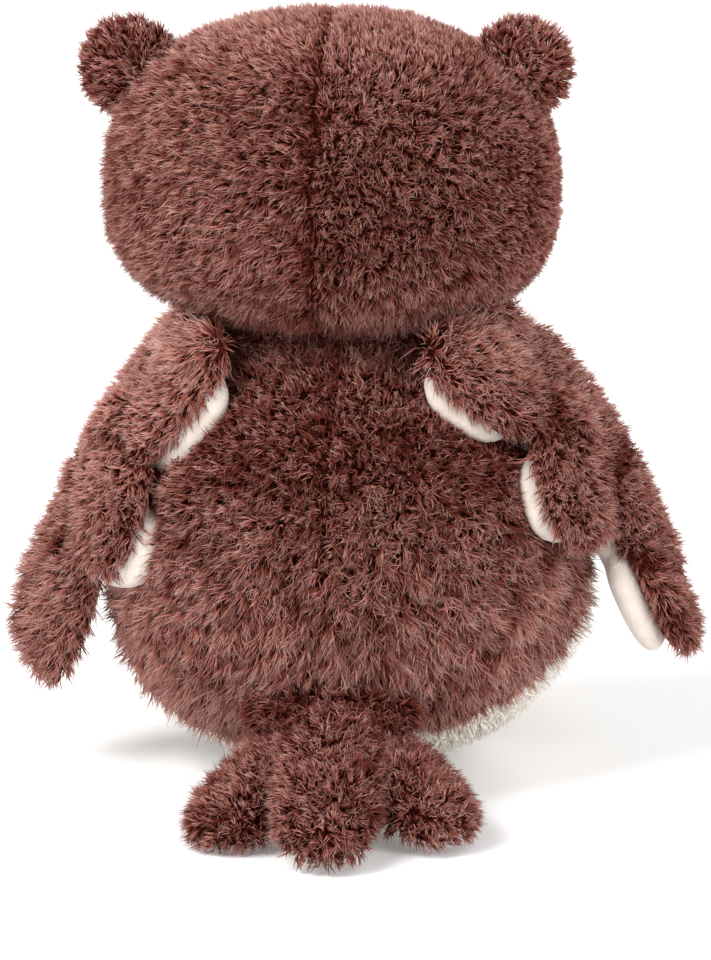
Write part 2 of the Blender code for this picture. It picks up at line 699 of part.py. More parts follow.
NECK_PLACE = Vector((NECK_SIDE_SHARE * HEAD_SHIFT, 0, NECK_UP))
NECK_SOCKET = as_cutter(
    "neck_socket",
    moved(
        round_mesh("neck_socket", (NECK_RADIUS + RUNNING_GAP,) * 3, NECK_FACETS), Matrix.Translation(NECK_PLACE)
    ),
)
WIDE = BODY_HALF_WIDTH + OVERRUN
DEEP = 3 * BODY_HALF_DEPTH
HIGH = BODY_HEIGHT + OVERRUN
FLOOR = box("floor", (-WIDE, -DEEP, -OVERRUN), (WIDE, DEEP, 0))
SIDE_OF = {
    1: box("left_half", (-GAP / 2, -DEEP, -OVERRUN), (WIDE, DEEP, HIGH)),
    -1: box("right_half", (-WIDE, -DEEP, -OVERRUN), (GAP / 2, DEEP, HIGH)),
}
FAR_UP = HEAD_EQUATOR + HEAD_UP + OVERRUN
HEAD_MIDDLE = {
    1: box("beyond_left_disc", (-WIDE, -DEEP, 0), (HEAD_SHIFT + GAP / 2, 0, FAR_UP)),
    -1: box("beyond_right_disc", (HEAD_SHIFT - GAP / 2, -DEEP, 0), (WIDE, 0, FAR_UP)),
}
SEAM_LINE = Matrix.Translation((0, SEAM_AXIS_BACK, SEAM_AXIS_UP)) @ Matrix.Rotation(math.pi / 2, 4, "Y")
BACK_REGION = as_cutter(
    "back_region", rod_mesh("back_region", SEAM_RADIUS, 2 * WIDE, 2 * ROUND_FACETS, SEAM_LINE)
)
BACK_REGION_GROWN = as_cutter(
    "back_region_grown", rod_mesh("back_region", SEAM_RADIUS + GAP, 2 * WIDE, 2 * ROUND_FACETS, SEAM_LINE)
)

BODY_FORM = make_body()
make_neck()
HEAD_FORM, FACE_PANEL, HEAD_STUFFING = make_head()
make_ears(HEAD_FORM)
make_face(HEAD_FORM, FACE_PANEL, HEAD_STUFFING)
make_wings(BODY_FORM)
make_tail(BODY_FORM)
make_feet(BODY_FORM)
make_hinges()
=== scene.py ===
# %% [markdown]
# # A sitting plush owl, seen from behind
# The owl is sewn from long-pile plush: thousands of soft pointed locks that stand on a knitted cloth, over
# loose fibre stuffing. The wings and the fan tail are flat stuffed pads, plush on one face and smooth cream
# velour on the other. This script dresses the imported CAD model, whose solids give every place and size.

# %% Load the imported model
import math
from itertools import product

import bpy
import numpy as np
from mathutils import Matrix, Vector


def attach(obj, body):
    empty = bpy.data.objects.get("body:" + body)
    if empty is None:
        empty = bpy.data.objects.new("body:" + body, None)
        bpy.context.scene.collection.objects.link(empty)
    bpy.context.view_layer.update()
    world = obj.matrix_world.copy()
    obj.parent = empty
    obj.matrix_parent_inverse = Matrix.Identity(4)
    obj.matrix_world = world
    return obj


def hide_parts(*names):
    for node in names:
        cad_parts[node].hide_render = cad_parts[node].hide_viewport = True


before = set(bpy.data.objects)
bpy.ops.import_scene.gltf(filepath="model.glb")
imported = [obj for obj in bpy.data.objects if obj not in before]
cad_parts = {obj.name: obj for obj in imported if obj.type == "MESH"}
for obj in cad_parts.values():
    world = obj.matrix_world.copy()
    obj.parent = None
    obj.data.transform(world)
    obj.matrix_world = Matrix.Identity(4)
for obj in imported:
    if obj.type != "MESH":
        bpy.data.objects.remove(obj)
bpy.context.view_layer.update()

# %% [markdown]
# ## Colours
# A colour picked from a screen is an sRGB hex code, and a shader works in linear light, so one function turns
# the one into the other: v / 12.92 for a dark channel, else ((v + 0.055) / 1.055) to the power 2.4.


# %% Colour helper
def linear(hex_code):
    """An sRGB hex code as linear RGBA."""
    srgb = np.array([int(hex_code[i : i + 2], 16) for i in (0, 2, 4)]) / 255
    light = np.where(srgb <= 0.04045, srgb / 12.92, ((srgb + 0.055) / 1.055) ** 2.4)
    return (*light.tolist(), 1.0)


# %% [markdown]
# ## The camera
# The picture was taken from behind and a little above, with a long lens, so the camera stands 3 m off and its
# lens is chosen to give 2203 pixels a metre at the owl. The picture is 711 pixels wide and 960 high, and
# Blender fits the sensor's 36 mm to the longer side.

# %% Camera
MM = 0.001
AZIMUTH = math.radians(187)
ELEVATION = math.radians(14)
DISTANCE = 3.0
AIM = Vector((-0.0025, 0, 0.1305))
PIXELS_A_METRE = 2203
PICTURE_HEIGHT = 960
SENSOR = 36

back = Vector((
    math.sin(AZIMUTH) * math.cos(ELEVATION),
    -math.cos(AZIMUTH) * math.cos(ELEVATION),
    math.sin(ELEVATION),
))
PICTURE_RIGHT = np.cross(-np.array(back), [0, 0, 1])
PICTURE_RIGHT /= np.linalg.norm(PICTURE_RIGHT)
PICTURE_DOWN = np.cross(-np.array(back), PICTURE_RIGHT)
camera_data = bpy.data.cameras.new("camera")
camera_data.sensor_width = SENSOR
camera_data.lens = PIXELS_A_METRE * DISTANCE / PICTURE_HEIGHT * SENSOR
camera_data.clip_end = 40
camera = bpy.data.objects.new("camera", camera_data)
bpy.context.scene.collection.objects.link(camera)
camera.location = AIM + back * DISTANCE
camera.rotation_mode = "QUATERNION"
camera.rotation_quaternion = (-back).to_track_quat("-Z", "Y")
bpy.context.scene.camera = camera
print("lens in mm:", round(camera_data.lens, 1))

# %% [markdown]
# ## Materials from nodes
# One small helper adds a node, sets its fields and inputs, and links it. A link is written as a pair: the
# node it comes from and the name of its output. An input is given by its name, or as i0, i1 and so on where
# several inputs share a name.


# %% Node helpers
def add_node(tree, kind, fields=None, **inputs):
    """A new node of a kind, with its fields set and each input set to a value or linked to (node, output)."""
    made = tree.nodes.new("ShaderNode" + kind)
    for name, value in (fields or {}).items():
        setattr(made, name, value)
    for name, value in inputs.items():
        by_number = name[0] == "i" and name[1:].isdigit()
        socket = made.inputs[int(name[1:]) if by_number else name.replace("_", " ")]
        if isinstance(value, tuple) and isinstance(value[0], bpy.types.Node):
            tree.links.new(value[0].outputs[value[1]], socket)
        else:
            socket.default_value = value
    return made


def new_material(name, roughness):
    """A material with its shader, and the tree that they stand in."""
    made = bpy.data.materials.new(name)
    made.use_nodes = True
    shader = made.node_tree.nodes["Principled BSDF"]
    shader.inputs["Roughness"].default_value = roughness
    return made, made.node_tree, shader


def ramp(tree, factor, stops):
    """A colour ramp over a factor, from (place, hex code) stops."""
    made = add_node(tree, "ValToRGB", Fac=factor)
    while len(made.color_ramp.elements) < len(stops):
        made.color_ramp.elements.new(0.5)
    for element, (place, code) in zip(made.color_ramp.elements, stops):
        element.position = place
        element.color = linear(code)
    return made


# %% [markdown]
# ## The floor
# The photograph was taken on white paper, which runs up behind the toy. Here it is one big flat square, matt
# and pale. A flat floor would go grey far off, so it glows a little, and more with distance from the owl.

# %% Floor
FLOOR_HALF = 60.0
NEAR, FAR = 0.3, 4.0
NEAR_GLOW, FAR_GLOW = 0.13, 0.6

floor_corners = [(x * FLOOR_HALF, y * FLOOR_HALF, 0) for x, y in ((-1, -1), (1, -1), (1, 1), (-1, 1))]
floor_mesh = bpy.data.meshes.new("studio_floor")
floor_mesh.from_pydata(floor_corners, [], [(0, 1, 2, 3)])
floor = bpy.data.objects.new("studio_floor", floor_mesh)
bpy.context.scene.collection.objects.link(floor)
floor_paint, floor_tree, floor_shader = new_material("pale_studio_paper", 0.9)
floor_shader.inputs["Base Color"].default_value = linear("F4F4F4")
floor_shader.inputs["Specular IOR Level"].default_value = 0.0
floor_shader.inputs["Emission Color"].default_value = (1, 1, 1, 1)
floor_place = add_node(floor_tree, "TexCoord")
far = add_node(floor_tree, "VectorMath", {"operation": "LENGTH"}, i0=(floor_place, "Object"))
glow = add_node(floor_tree, "MapRange", Value=(far, "Value"))
for socket, value in (("From Min", NEAR), ("From Max", FAR), ("To Min", NEAR_GLOW), ("To Max", FAR_GLOW)):
    glow.inputs[socket].default_value = value
floor_tree.links.new(glow.outputs["Result"], floor_shader.inputs["Emission Strength"])
floor_mesh.materials.append(floor_paint)
print("floor in m:", 2 * FLOOR_HALF)

# %% [markdown]
# ## The light
# A big soft light stands at the upper left of the camera, a weaker one at its right and one before the owl's
# face. With the white sky they leave only a soft shadow where the owl touches the floor. The Standard view
# keeps the colours as they are worked out, where a filmic one would grey the white.

# %% Sky and lights
SKY = 0.48
OWL_MIDDLE = (0, 0, 0.15)

world = bpy.data.worlds.new("white_studio")
world.use_nodes = True
world.node_tree.nodes["Background"].inputs["Color"].default_value = (1, 1, 1, 1)
world.node_tree.nodes["Background"].inputs["Strength"].default_value = SKY
bpy.context.scene.world = world
bpy.context.scene.view_settings.view_transform = "Standard"


def soft_light(name, place, size, power, aim):
    """A square area light at a place, looking at a point."""
    data = bpy.data.lights.new(name, "AREA")
    data.size = size
    data.energy = power
    lamp = bpy.data.objects.new(name, data)
    bpy.context.scene.collection.objects.link(lamp)
    lamp.location = place
    lamp.rotation_mode = "QUATERNION"
    lamp.rotation_quaternion = (Vector(aim) - Vector(place)).to_track_quat("-Z", "Y")
    return lamp


soft_light("key_light", (2.4, 2.0, 3.2), 2.4, 205, OWL_MIDDLE)
soft_light("side_light", (-2.4, 2.2, 1.7), 1.8, 66, OWL_MIDDLE)
soft_light("front_light", (-1.6, -2.8, 2.6), 2.2, 60, OWL_MIDDLE)

# %% [markdown]
# ## Surfaces as arrays
# Every form here is a surface worked out with numpy. A grid of two angles gives the unit directions, and a
# formula turns them into points. The faces join neighbours on the grid, and a fan of triangles closes each
# pole.


# %% Grid helpers
def closed_faces(columns, rows):
    """Triangles over a grid of points whose first and last entries are the two poles."""
    ring = np.arange(columns)
    after = (ring + 1) % columns
    first = 1 + np.arange(rows - 1)[:, None] * columns
    low_left, low_right = first + ring, first + after
    high_left, high_right = low_left + columns, low_right + columns
    sides = np.concatenate([
        np.stack([low_left, high_left, low_right], -1).reshape(-1, 3),
        np.stack([low_right, high_left, high_right], -1).reshape(-1, 3),
    ])
    last = 1 + rows * columns
    top = np.stack([np.zeros(columns, int), 1 + ring, 1 + after], -1)
    bottom_ring = 1 + (rows - 1) * columns
    bottom = np.stack([np.full(columns, last), bottom_ring + after, bottom_ring + ring], -1)
    return np.concatenate([top, sides, bottom])


def unit_points(columns, rows):
    """The directions of a grid on the unit sphere, from the top pole to the bottom one."""
    polar = (np.arange(rows) + 1) / (rows + 1) * np.pi
    turn = np.arange(columns) / columns * 2 * np.pi
    sine, cosine = np.sin(polar)[:, None], np.cos(polar)[:, None]
    grid = np.stack([sine * np.cos(turn), sine * np.sin(turn), cosine * np.ones(columns)], -1)
    return np.concatenate([[[0, 0, 1]], grid.reshape(-1, 3), [[0, 0, -1]]])


def plump(unit, half, up, down, top_power, bottom_power):
    """A plump form: height |cos|^(2/p), radius |sin|^(2/p). A p of 2 is an ellipsoid, a larger one squarer."""
    x, y, z = unit.T
    sine = np.hypot(x, y)
    power = np.where(z >= 0, top_power, bottom_power)
    radius = sine ** (2 / power) / np.where(sine > 0, sine, 1)
    height = np.sign(z) * np.abs(z) ** (2 / power) * np.where(z >= 0, up, down)
    return np.column_stack([x * radius * half[0], y * radius * half[1], height])


def corner_normals(points, triangles):
    """Unit normals of the points: the sum of each point's face normals, as long as their areas."""
    a, b, c = points[triangles].transpose(1, 0, 2)
    across = np.cross(b - a, c - a)
    total = np.zeros_like(points)
    for corner in range(3):
        np.add.at(total, triangles[:, corner], across)
    return total / np.linalg.norm(total, axis=1, keepdims=True)


def as_piece(name, points, triangles, material, body):
    """A smooth-shaded mesh from arrays, as a piece that rides on a body."""
    mesh = bpy.data.meshes.new(name)
    mesh.vertices.add(len(points))
    mesh.vertices.foreach_set("co", points.astype(np.float32).ravel())
    mesh.loops.add(triangles.size)
    mesh.loops.foreach_set("vertex_index", triangles.astype(np.int32).ravel())
    mesh.polygons.add(len(triangles))
    mesh.polygons.foreach_set("loop_start", np.arange(0, triangles.size, 3, dtype=np.int32))
    mesh.polygons.foreach_set("use_smooth", np.ones(len(triangles), bool))
    mesh.materials.append(material)
    mesh.update(calc_edges=True)
    piece = bpy.data.objects.new(name, mesh)
    bpy.context.scene.collection.objects.link(piece)
    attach(piece, body)
    print(f"{name}: {len(triangles)} triangles")
    return piece


# %% [markdown]
# ## Long-pile plush
# The real pile is polyester fibre about 10 mm long, knitted into a backing cloth, in locks that cling
# together to a point. Drawn hair can't be exported as a solid shape, so each lock here is a closed mesh: a
# three-sided spindle with a bend near its middle and a point at each end, six triangles in all.
#
# Each lock is coloured along its length: dark red-brown at the root, a painted shade for the shade of its
# neighbours, and pale at the tip, a painted highlight that stands in for the fibre's glints. Its UV map says
# both things: u is the lock's tone, random in part and with painted shade and light in it, and v runs from
# root to tip. Its specular level is low, so that the shade between locks stays dark.


# %% Pile materials
def pile_material(name, dark, pale, roughness):
    """Pile that goes from a dark set of colours to a pale one with u, and from root to tip with v."""
    made, tree, shader = new_material(name, roughness)
    place = add_node(tree, "UVMap", {"uv_map": "OFBake"})
    parts = add_node(tree, "SeparateXYZ", Vector=(place, "UV"))
    # Along v, each ramp runs from painted shade at the root to a painted highlight at the tip.
    low = ramp(tree, (parts, "Y"), dark)
    high = ramp(tree, (parts, "Y"), pale)
    mix = add_node(tree, "Mix", {"data_type": "RGBA"}, i0=(parts, "X"), i6=(low, "Color"), i7=(high, "Color"))
    tree.links.new(mix.outputs[2], shader.inputs["Base Color"])
    shader.inputs["Specular IOR Level"].default_value = 0.05
    shader.inputs["Sheen Weight"].default_value = 0.0
    shader.inputs["Sheen Roughness"].default_value = 0.4
    return made


BROWN_PILE = pile_material(
    "brown_polyester_pile",
    ((0.0, "45140B"), (0.5, "551B12"), (0.78, "682C22"), (1.0, "8D5148")),
    ((0.0, "742617"), (0.5, "A25A4C"), (0.78, "D09A8D"), (1.0, "FBE0D6")),
    0.6,
)
CREAM_PILE = pile_material(
    "cream_polyester_pile",
    ((0.0, "DCC7B2"), (0.4, "EDE0D1"), (1.0, "F7EFE6")),
    ((0.0, "EBDDCE"), (0.4, "F9F2E9"), (1.0, "FFFBF6")),
    0.6,
)

# %% [markdown]
# ## The knitted cloth
# Under the pile lies knitted polyester, matt and without gloss. A real stitch is about 1.2 mm wide, and each is
# drawn as a Voronoi cell with a dark edge. Only slits of it show, so it needs no threads.

# %% Knitted cloth
KNIT_PITCH = 1.2 * MM


def knit_material(name, middle, edge):
    """The knitted cloth under the pile: cells of one stitch, from the middle of a stitch to its edge."""
    made, tree, shader = new_material(name, 0.95)
    place = add_node(tree, "TexCoord")
    knit = add_node(tree, "TexVoronoi", {"feature": "F1"}, Vector=(place, "Object"), Scale=1 / KNIT_PITCH)
    colour = ramp(tree, (knit, "Distance"), ((0.2, middle), (0.7, edge)))
    tree.links.new(colour.outputs["Color"], shader.inputs["Base Color"])
    shader.inputs["Specular IOR Level"].default_value = 0.0
    return made


BROWN_CLOTH = knit_material("brown_knitted_backing", "5E2A22", "3A140E")
CREAM_CLOTH = knit_material("cream_knitted_backing", "F0E4D6", "DCCBB8")
print("pile and cloth:", [made.name for made in (BROWN_PILE, CREAM_PILE, BROWN_CLOTH, CREAM_CLOTH)])

# %% [markdown]
# ## Where the pile grows
# Blender can scatter points with geometry nodes, but a few lines of numpy give the same roots on every run and
# say which colour and length each gets. Triangles are picked in proportion to their area, at even steps along
# the running total, with a random place inside each: shares 1 - r, r(1 - s) and rs of the corners, where r is
# the root of a random number and s another.


# %% Scatter
def scatter(points, triangles, density, seed):
    """Roots and normals on a surface, so many a square metre: even steps of area, random within each face."""
    rng = np.random.default_rng(seed)
    a, b, c = points[triangles].transpose(1, 0, 2)
    area = np.linalg.norm(np.cross(b - a, c - a), axis=1) / 2
    total = np.cumsum(area)
    count = int(total[-1] * density)
    mark = (np.arange(count) + rng.random(count)) / count * total[-1]
    face = np.minimum(np.searchsorted(total, mark), len(area) - 1)
    root = np.sqrt(rng.random(count))
    side = rng.random(count)
    share = np.stack([1 - root, root * (1 - side), root * side], -1)[:, :, None]
    normals = corner_normals(points, triangles)
    found = (points[triangles[face]] * share).sum(1)
    facing = (normals[triangles[face]] * share).sum(1)
    return found, facing / np.linalg.norm(facing, axis=1, keepdims=True)


# %% [markdown]
# ## Tufts and hanks
# Pile clings together at two scales: fine tufts, 2 mm apart, whose tips lean to one point, and hanks of several
# tufts, 5 mm apart, that share a way and a length. Each root belongs to the nearest point of a jittered lattice
# of either spacing. A lattice is hashed, not drawn in turn, so that two pieces which meet at a seam share their
# tufts. Over larger distances a sum of slow waves varies the pile, as handling does.


# %% Tufts and waves
def lattice_random(cells, stream):
    """Three random numbers from 0 to 1 for each whole-number cell, the same on every run."""
    x, y, z = (cells.astype(np.int64) + 4096).T.astype(np.uint64)
    found = []
    for k in range(3):
        h = (x * np.uint64(73856093)) ^ (y * np.uint64(19349663)) ^ (z * np.uint64(83492791))
        h = (h + np.uint64(1013 * stream + 7919 * k)) & np.uint64(0xFFFFFFFF)
        for _ in range(2):
            h = ((h ^ (h >> np.uint64(16))) * np.uint64(0x45D9F3B)) & np.uint64(0xFFFFFFFF)
        found.append((h ^ (h >> np.uint64(16))).astype(float) / 2**32)
    return np.stack(found, -1)


def tufts(points, spacing, stream):
    """The middle of each point's tuft and three random numbers of that tuft: nearest of a jittered lattice."""
    cell = np.floor(points / spacing).astype(int)
    least = np.full(len(points), np.inf)
    middle = np.zeros_like(points)
    own = np.zeros_like(points)
    for shift in product((-1, 0, 1), repeat=3):
        near = cell + shift
        candidate = (near + lattice_random(near, stream)) * spacing
        distance = ((points - candidate) ** 2).sum(1)
        closer = distance < least
        least[closer] = distance[closer]
        middle[closer] = candidate[closer]
        own[closer] = lattice_random(near, stream + 1)[closer]
    return middle, own


def waves(points, length, seed):
    """Smooth noise from -1 to 1: the mean of eight sine waves of about one length, in random directions."""
    rng = np.random.default_rng(seed)
    ways = rng.normal(size=(8, 3))
    ways *= 2 * np.pi / length / np.linalg.norm(ways, axis=1, keepdims=True) * rng.uniform(0.6, 1.4, (8, 1))
    return np.sin(points @ ways.T + rng.uniform(0, 2 * np.pi, 8)).mean(1) * 1.6


def unit(vectors):
    """Each vector at length 1."""
    return vectors / np.maximum(np.linalg.norm(vectors, axis=1, keepdims=True), 1e-12)


# %% [markdown]
# ## One lock of pile
# A lock starts a little below the cloth, rises between its normal and the way the nap is combed, and bends
# over towards its tip. Locks at the rim of a tuft or hank are shorter and painted darker, as the shade in the
# gaps between them. Locks that lie flatter are painted paler, as a highlight along their sides, and one lock
# in six is painted paler still, as a glint.


# %% Locks
HANK, TUFT = 4.6 * MM, 1.9 * MM
HANK_TURN, SWIRL = 1.0, 0.9
ROOT_DEPTH, OVER_FLOOR = 0.8 * MM, 0.5 * MM
PALE_SHARE, PALE_STEP = 0.16, 0.42
LOCK_BEND = 0.45


def flat_on(normals, vectors):
    """The part of each vector that lies in the surface: v - (v . n) n."""
    return vectors - (vectors * normals).sum(1, keepdims=True) * normals


def lock_paths(rng, roots, normals, comb, lift, length, tone, pull):
    """Root, bend and tip of each lock, and its tone. comb is the nap's way, lift its rise: 0 flat, 1 upright.

    bend = root + 0.45 length along (lift + 0.25) normal + (1 - lift) way
    tip = bend + 0.55 length along (lift - 0.15) normal + (1.1 - lift) way
    where way is the comb turned by the hank's own angle and a slow swirl. Both are drawn towards the middles of
    the hank and the tuft by pull. The tone falls towards the rims of both, a painted shade for the gaps, and
    where a lock stands up, so that a flatter lock gets a painted highlight.
    """
    count = len(roots)
    hank_middle, hank = tufts(roots, HANK, 1)
    tuft_middle, tuft = tufts(roots, TUFT, 5)
    to_hank, to_tuft = flat_on(normals, hank_middle - roots), flat_on(normals, tuft_middle - roots)
    edge = np.clip(np.linalg.norm(to_hank, axis=1, keepdims=True) / (0.62 * HANK), 0, 1) ** 2
    rim = np.clip(np.linalg.norm(to_tuft, axis=1, keepdims=True) / (0.6 * TUFT), 0, 1) ** 2
    combed = unit(flat_on(normals, comb))
    turn = (hank[:, :1] - 0.5) * HANK_TURN + waves(roots, 0.035, 77)[:, None] * SWIRL
    turn *= np.clip(lift, 0.3, 1)
    way = combed * np.cos(turn) + np.cross(normals, combed) * np.sin(turn)
    lift = np.clip(lift + (hank[:, 1:2] - 0.5) * 0.24, 0.15, 1.05)
    sway = unit(tuft - 0.5) * 0.3 + rng.normal(size=(count, 3)) * 0.07
    reach = length * (0.86 + 0.3 * hank[:, 2:]) * (1 - 0.15 * edge - 0.15 * rim)
    reach = reach * rng.uniform(0.82, 1.12, (count, 1))
    first = unit((lift + 0.25) * normals + (1 - lift) * way + sway)
    second = unit((lift - 0.15) * normals + (1.1 - lift) * way + sway * 1.6)
    bend = roots + first * reach * LOCK_BEND + to_hank * pull * 0.15 + to_tuft * pull * 0.4
    tip = bend + second * reach * (1 - LOCK_BEND) + to_hank * pull * 0.3 + to_tuft * pull * 0.9
    for points in (bend, tip):
        points[:, 2] = np.maximum(points[:, 2], OVER_FLOOR)
    # Painted shade at the rims of hanks and tufts; painted highlight on flatter locks, in the next line.
    shade = tone + 0.1 + (hank[:, :1] - 0.5) * 0.3 + (tuft[:, :1] - 0.5) * 0.42 - 0.25 * edge - 0.3 * rim
    shade += (0.75 - lift) * 0.5 + waves(roots, 0.018, 78)[:, None] * 0.12
    # Painted glints: one lock in six is paler.
    shade += (rng.random((count, 1)) < PALE_SHARE) * PALE_STEP + rng.normal(size=(count, 1)) * 0.08
    return roots - normals * ROOT_DEPTH, bend, tip, np.clip(shade[:, 0], 0.03, 0.97)


# %% [markdown]
# ## Locks as meshes
# One point is a lock's root, three ring its bend, and one is its tip. Hair strands or bevelled curves would
# look as good here, but only a mesh is exported as it is, and five points are the fewest that make a closed
# lock with a bend. Large piles are cut into pieces of up to 32,000 locks each, from the top down.

# %% Lock meshes
MOST_LOCKS = 32000
CORNERS = np.array([[1.0, 0.0], [-0.5, 0.866], [-0.5, -0.866]])
LOCK_FACES = np.array([[0, 2, 1], [0, 3, 2], [0, 1, 3], [1, 2, 4], [2, 3, 4], [3, 1, 4]])
LOCK_ALONG = np.array([0.0, LOCK_BEND, LOCK_BEND, LOCK_BEND, 1.0])
LOCK_SPREAD = np.array([0.0, -0.01, 0.0, 0.01, 0.0])


def locks(name, paths, width, material, body, rng):
    """Locks as one mesh: a root point, three corners round the bend and a tip point each.

    The corners differ a little in u, so that no face is a mere line on the UV map.
    """
    start, bend, tip, shade = paths
    count = len(start)
    along = unit(tip - start)
    across = unit(np.cross(along, rng.normal(size=(count, 3))))
    other = np.cross(along, across)
    breadth = width[:, None] * rng.uniform(0.7, 1.3, (count, 1, 1)) / 2
    ring = breadth * (CORNERS[:, 0][:, None] * across[:, None] + CORNERS[:, 1][:, None] * other[:, None])
    points = np.concatenate([start[:, None], bend[:, None] + ring, tip[:, None]], 1)
    faces = LOCK_FACES + 5 * np.arange(count)[:, None, None]
    piece = as_piece(name, points.reshape(-1, 3), faces.reshape(-1, 3), material, body)
    corner = np.tile(LOCK_FACES.ravel(), count)
    lock = np.repeat(np.arange(count), LOCK_FACES.size)
    uv = np.stack([shade[lock] + LOCK_SPREAD[corner], 0.02 + 0.96 * LOCK_ALONG[corner]], -1)
    layer = piece.data.uv_layers.new(name="OFBake")
    layer.uv.foreach_set("vector", uv.astype(np.float32).ravel())
    print(f"{name}: {count} locks")


def grow_pile(name, roots, normals, comb, lift, length, width, tone, pull, material, body, seed):
    """Pile on a surface, in as many pieces, from the top down, as keep each one light."""
    rng = np.random.default_rng(seed)
    count = len(roots)
    lift, length, tone, width = (
        np.broadcast_to(np.reshape(v, (-1, 1)), (count, 1)) for v in (lift, length, tone, width)
    )
    comb = np.broadcast_to(comb, (count, 3))
    paths = lock_paths(rng, roots, normals, comb, lift, length, tone, pull)
    groups = np.array_split(np.argsort(-roots[:, 2]), -(-count // MOST_LOCKS))
    for number, group in enumerate(groups):
        title = name if len(groups) == 1 else f"{name}_{number + 1}"
        locks(title, [value[group] for value in paths], width[group], material, body, rng)


# %% [markdown]
# ## Sizes of the forms
# These are the CAD model's own sizes, in metres. The pile's outer face is the CAD surface, so the cloth that
# carries it lies 7 mm below. The back is brown inside a cylinder that lies across the owl, whose edge is the
# side seam: low on the owl's right the brown stops sooner, and the cream belly shows.

# %% Sizes
BODY_HALF = (0.110, 0.098)
BODY_UP, BODY_DOWN, BODY_EQUATOR = 0.111, 0.0945, 0.093
BODY_POWERS = (2.4, 2.35)
HEAD_HALF = (0.105, 0.081)
HEAD_UP, HEAD_DOWN, HEAD_EQUATOR = 0.0805, 0.0615, 0.2675
HEAD_POWERS = (2.35, 2.9)
HEAD_SHIFT = 0.007
SEAM_RADIUS, SEAM_BACK, SEAM_UP = 0.235, 0.189, 0.223
BROWN_OVERHANG = 13 * MM
CLOTH_DEPTH = 7.0 * MM
FACE_SEAM = -0.018

GRID = (160, 90)


def body_form(inset):
    """The body's surface, moved in by an inset."""
    points = plump(
        unit_points(*GRID),
        (BODY_HALF[0] - inset, BODY_HALF[1] - inset),
        BODY_UP - inset, BODY_DOWN - inset, *BODY_POWERS,
    )
    return points + [0, 0, BODY_EQUATOR], closed_faces(*GRID)


def head_form(inset):
    """The head's surface, moved in by an inset."""
    points = plump(
        unit_points(*GRID),
        (HEAD_HALF[0] - inset, HEAD_HALF[1] - inset),
        HEAD_UP - inset, HEAD_DOWN - inset, *HEAD_POWERS,
    )
    return points + [HEAD_SHIFT, 0, HEAD_EQUATOR], closed_faces(*GRID)


def on_back(points):
    """Whether points are on the brown side of the body's seam, inside the seam's cylinder."""
    overhang = BROWN_OVERHANG * (0.55 - 0.45 * np.clip(points[:, 0] / 0.04, -1, 1))
    return np.hypot(points[:, 1] - SEAM_BACK, points[:, 2] - SEAM_UP) < SEAM_RADIUS - overhang


print("body height in mm:", round(1000 * (BODY_UP + BODY_DOWN), 1))
print("head height in mm:", round(1000 * (HEAD_UP + HEAD_DOWN), 1))

# %% [markdown]
# ## Feathers and tail lobes
# Each feather and tail lobe is a row: where its root and its tip are, as shares of the body's half width, half
# depth and height, its half width as a share of the height, and the way it faces, in degrees from straight
# sideways. A tail lobe faces up. The rows are measured from the photograph, so the two wings differ, as they
# do on a toy that has been handled.


# %% Feathers and lobes
def lobe_frames(rows, side):
    """Start, end, half width, way along and facing of each lobe, in metres, from shares of the body's size."""
    size = np.array([BODY_HALF[0], BODY_HALF[1], BODY_UP + BODY_EQUATOR])
    found = []
    for root, tip, width, look in rows:
        start, end = np.array(root) * size, np.array(tip) * size
        start[0] *= side
        end[0] *= side
        face = np.array([0.0, 0.0, 1.0])
        if look is not None:
            face = np.array([side * math.cos(math.radians(look)), math.sin(math.radians(look)), 0.35])
        along = (end - start) / np.linalg.norm(end - start)
        face = face - face @ along * along
        face /= np.linalg.norm(face)
        found.append((start, end, width * size[2], along, face))
    return found


def pressed(points, frames, half_thickness, margin):
    """How far points lie inside the lobes grown by a margin: 1 in, 0 out, from the sum of |x / half|^2.7."""
    found = np.zeros(len(points))
    for start, end, width, along, face in frames:
        local = points - (start + end) / 2
        half = np.linalg.norm(end - start) / 2
        inside = (
            np.abs(local @ along / (half + margin)) ** 2.7
            + np.abs(local @ np.cross(along, face) / (width + margin)) ** 2.7
            + np.abs(local @ face / (half_thickness + margin)) ** 2.7
        )
        found = np.maximum(found, np.clip((1.15 - inside) / 0.4, 0, 1))
    return found


LEFT_FEATHERS = (
    ((0.59, 0.12, 1.005), (1.11, 0.16, 0.56), 0.145, 32),
    ((0.93, 0.08, 0.80), (1.33, 0.20, 0.25), 0.106, 38),
    ((0.43, 0.51, 1.005), (0.83, 0.36, 0.70), 0.100, 50),
    ((0.86, 0.33, 0.84), (0.97, 0.52, 0.44), 0.130, 46),
    ((1.07, 0.30, 0.58), (1.28, 0.26, 0.19), 0.102, 50),
)
RIGHT_FEATHERS = (
    ((0.60, 0.12, 1.0), (1.15, 0.14, 0.60), 0.147, 30),
    ((0.96, 0.06, 0.82), (1.37, 0.16, 0.35), 0.106, 26),
    ((0.39, 0.54, 1.0), (0.87, 0.38, 0.80), 0.108, 46),
    ((0.84, 0.31, 0.88), (1.03, 0.46, 0.53), 0.118, 38),
    ((1.16, 0.24, 0.56), (1.41, 0.14, 0.26), 0.095, 4),
)
TAIL_LOBES = (
    ((-0.02, 0.72, 0.26), (-0.09, 1.92, 0.045), 0.130, None),
    ((0.03, 0.74, 0.18), (0.41, 1.66, 0.035), 0.125, None),
    ((-0.09, 0.74, 0.18), (-0.60, 1.52, 0.055), 0.125, None),
)
LEFT_WING = lobe_frames(LEFT_FEATHERS, 1)
RIGHT_WING = lobe_frames(RIGHT_FEATHERS, -1)
TAIL = lobe_frames(TAIL_LOBES, 1)
